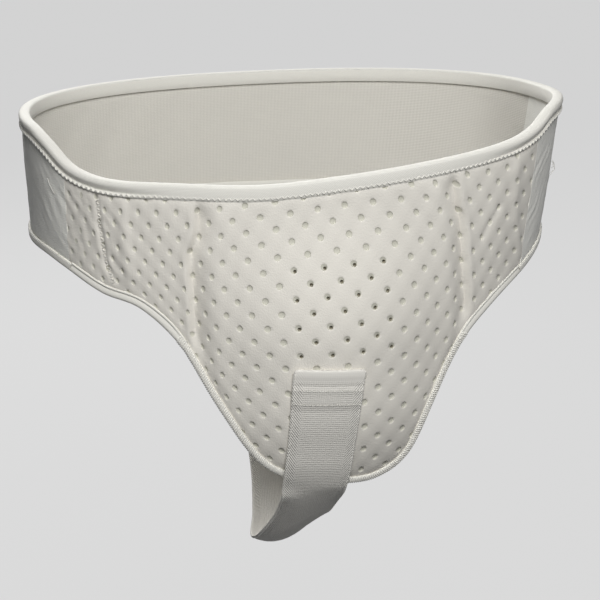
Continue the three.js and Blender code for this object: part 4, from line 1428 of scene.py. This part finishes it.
# %% Wrap the bead under the front
WRAP_STEP, WRAP_SLANT, WRAP_RADIUS = 1.3, 0.9, 0.5
WRAP_IN, WRAP_OUT = 2.2, 2.0  # the place in the bead from which a wrap is drawn
on_top = np.linspace(4.5, 1.2, 6)
inwards = np.concatenate([on_top, [0.45, 0.1, 0.05, 0.4]])
heights = np.concatenate([bead_face(on_top), [4.55, 3.3, 1.6, 0.0]])
slanted = WRAP_SLANT * (1 - inwards / WRAP_IN)
wrap_line = np.stack([slanted, inwards - WRAP_IN, heights - WRAP_OUT], -1)
wrap_radii = WRAP_RADIUS * np.array([.6, .9, 1, 1, 1, 1, 1, 1, .9, .6])
wrap_shape = tube("one wrap", wrap_line, wrap_radii, sides=5)
pouch_run = front_run[on_flank(front_run) < 0.5]
wraps = sewn("lower_binding_front_wraps",
             [along_edge(lower_edge, pouch_run, WRAP_IN, WRAP_OUT)], WRAP_STEP, wrap_shape)

# %% [markdown]
# ## What was flat
# Each binding was cut as a flat ribbon, and the strap is a length of woven webbing.

# %% [markdown]
# ## Floor, light and camera
# The floor lies well below the belt, since the belt is shown as worn and stands on nothing. It glows
# evenly, and for the camera alone the world is a backdrop as pale, so that the two run together. A
# small soft key lamp stands near, in front and above, and a second one lights the back. The world's
# own light is faint. The camera has the photograph's angle.

# %% Stage
FLOOR_HALF, FLOOR_HEIGHT, FLOOR_GLOW = 20, -0.5, 0.645
MIDDLE = (0, 0, -0.07)
SKY_LIGHT, SKY_SEEN = 0.085, 0.72
corners = [(x * FLOOR_HALF, y * FLOOR_HALF, FLOOR_HEIGHT)
           for x, y in ((-1, -1), (1, -1), (1, 1), (-1, 1))]
floor_mesh = bpy.data.meshes.new("floor")
floor_mesh.from_pydata(corners, [], [(0, 1, 2, 3)])
floor = in_scene("floor", floor_mesh)
floor_paint, tree = material("matt pale floor")
paint = add(tree, "ShaderNodeBsdfPrincipled", Base_Color=linear("484848"), Roughness=1.0,
            Specular_IOR_Level=0.0, Emission_Color=linear("FFFFFF"), Emission_Strength=FLOOR_GLOW)
add(tree, "ShaderNodeOutputMaterial", Surface=paint.outputs[0])
floor_mesh.materials.append(floor_paint)
floor.visible_diffuse = False


def lamp(name, place, target, size, power):
    """A square soft lamp that faces a place."""
    light = bpy.data.lights.new(name, "AREA")
    light.size, light.energy = size, power
    made = in_scene(name, light)
    made.location = place
    made.rotation_euler = (Vector(target) - Vector(place)).to_track_quat("-Z", "Y").to_euler()


lamp("key", (-0.04, -0.74, 0.56), MIDDLE, size=0.45, power=7.3)
lamp("back", (-0.15, 1.5, 0.9), MIDDLE, size=0.8, power=30)
world = bpy.data.worlds.new("soft studio")
world.use_nodes = True
sky = world.node_tree.nodes["Background"]
sky.inputs["Color"].default_value = linear("F2F4F6")
seen = add(world.node_tree, "ShaderNodeLightPath").outputs["Is Camera Ray"]
strength = add(world.node_tree, "ShaderNodeMapRange", Value=seen, To_Min=SKY_LIGHT, To_Max=SKY_SEEN)
world.node_tree.links.new(strength.outputs[0], sky.inputs["Strength"])
bpy.context.scene.world = world
bpy.context.scene.view_settings.view_transform = "Standard"

# %% Camera
AZIMUTH, ELEVATION, DISTANCE = math.radians(-12), math.radians(18), 0.95
AIM_HEIGHT, AIM_RIGHT = -0.088, 0.0037
FOCAL_LENGTH, SENSOR = 88.13, 36
right = Vector((math.cos(AZIMUTH), math.sin(AZIMUTH), 0))
away = Vector((math.sin(AZIMUTH) * math.cos(ELEVATION), -math.cos(AZIMUTH) * math.cos(ELEVATION),
               math.sin(ELEVATION)))
target = Vector((0, 0, AIM_HEIGHT)) + right * AIM_RIGHT
lens = bpy.data.cameras.new("camera")
lens.lens, lens.sensor_width, lens.sensor_fit = FOCAL_LENGTH, SENSOR, "AUTO"
camera = in_scene("camera", lens)
camera.location = target + away * DISTANCE
camera.rotation_euler = (-away).to_track_quat("-Z", "Y").to_euler()
bpy.context.scene.camera = camera
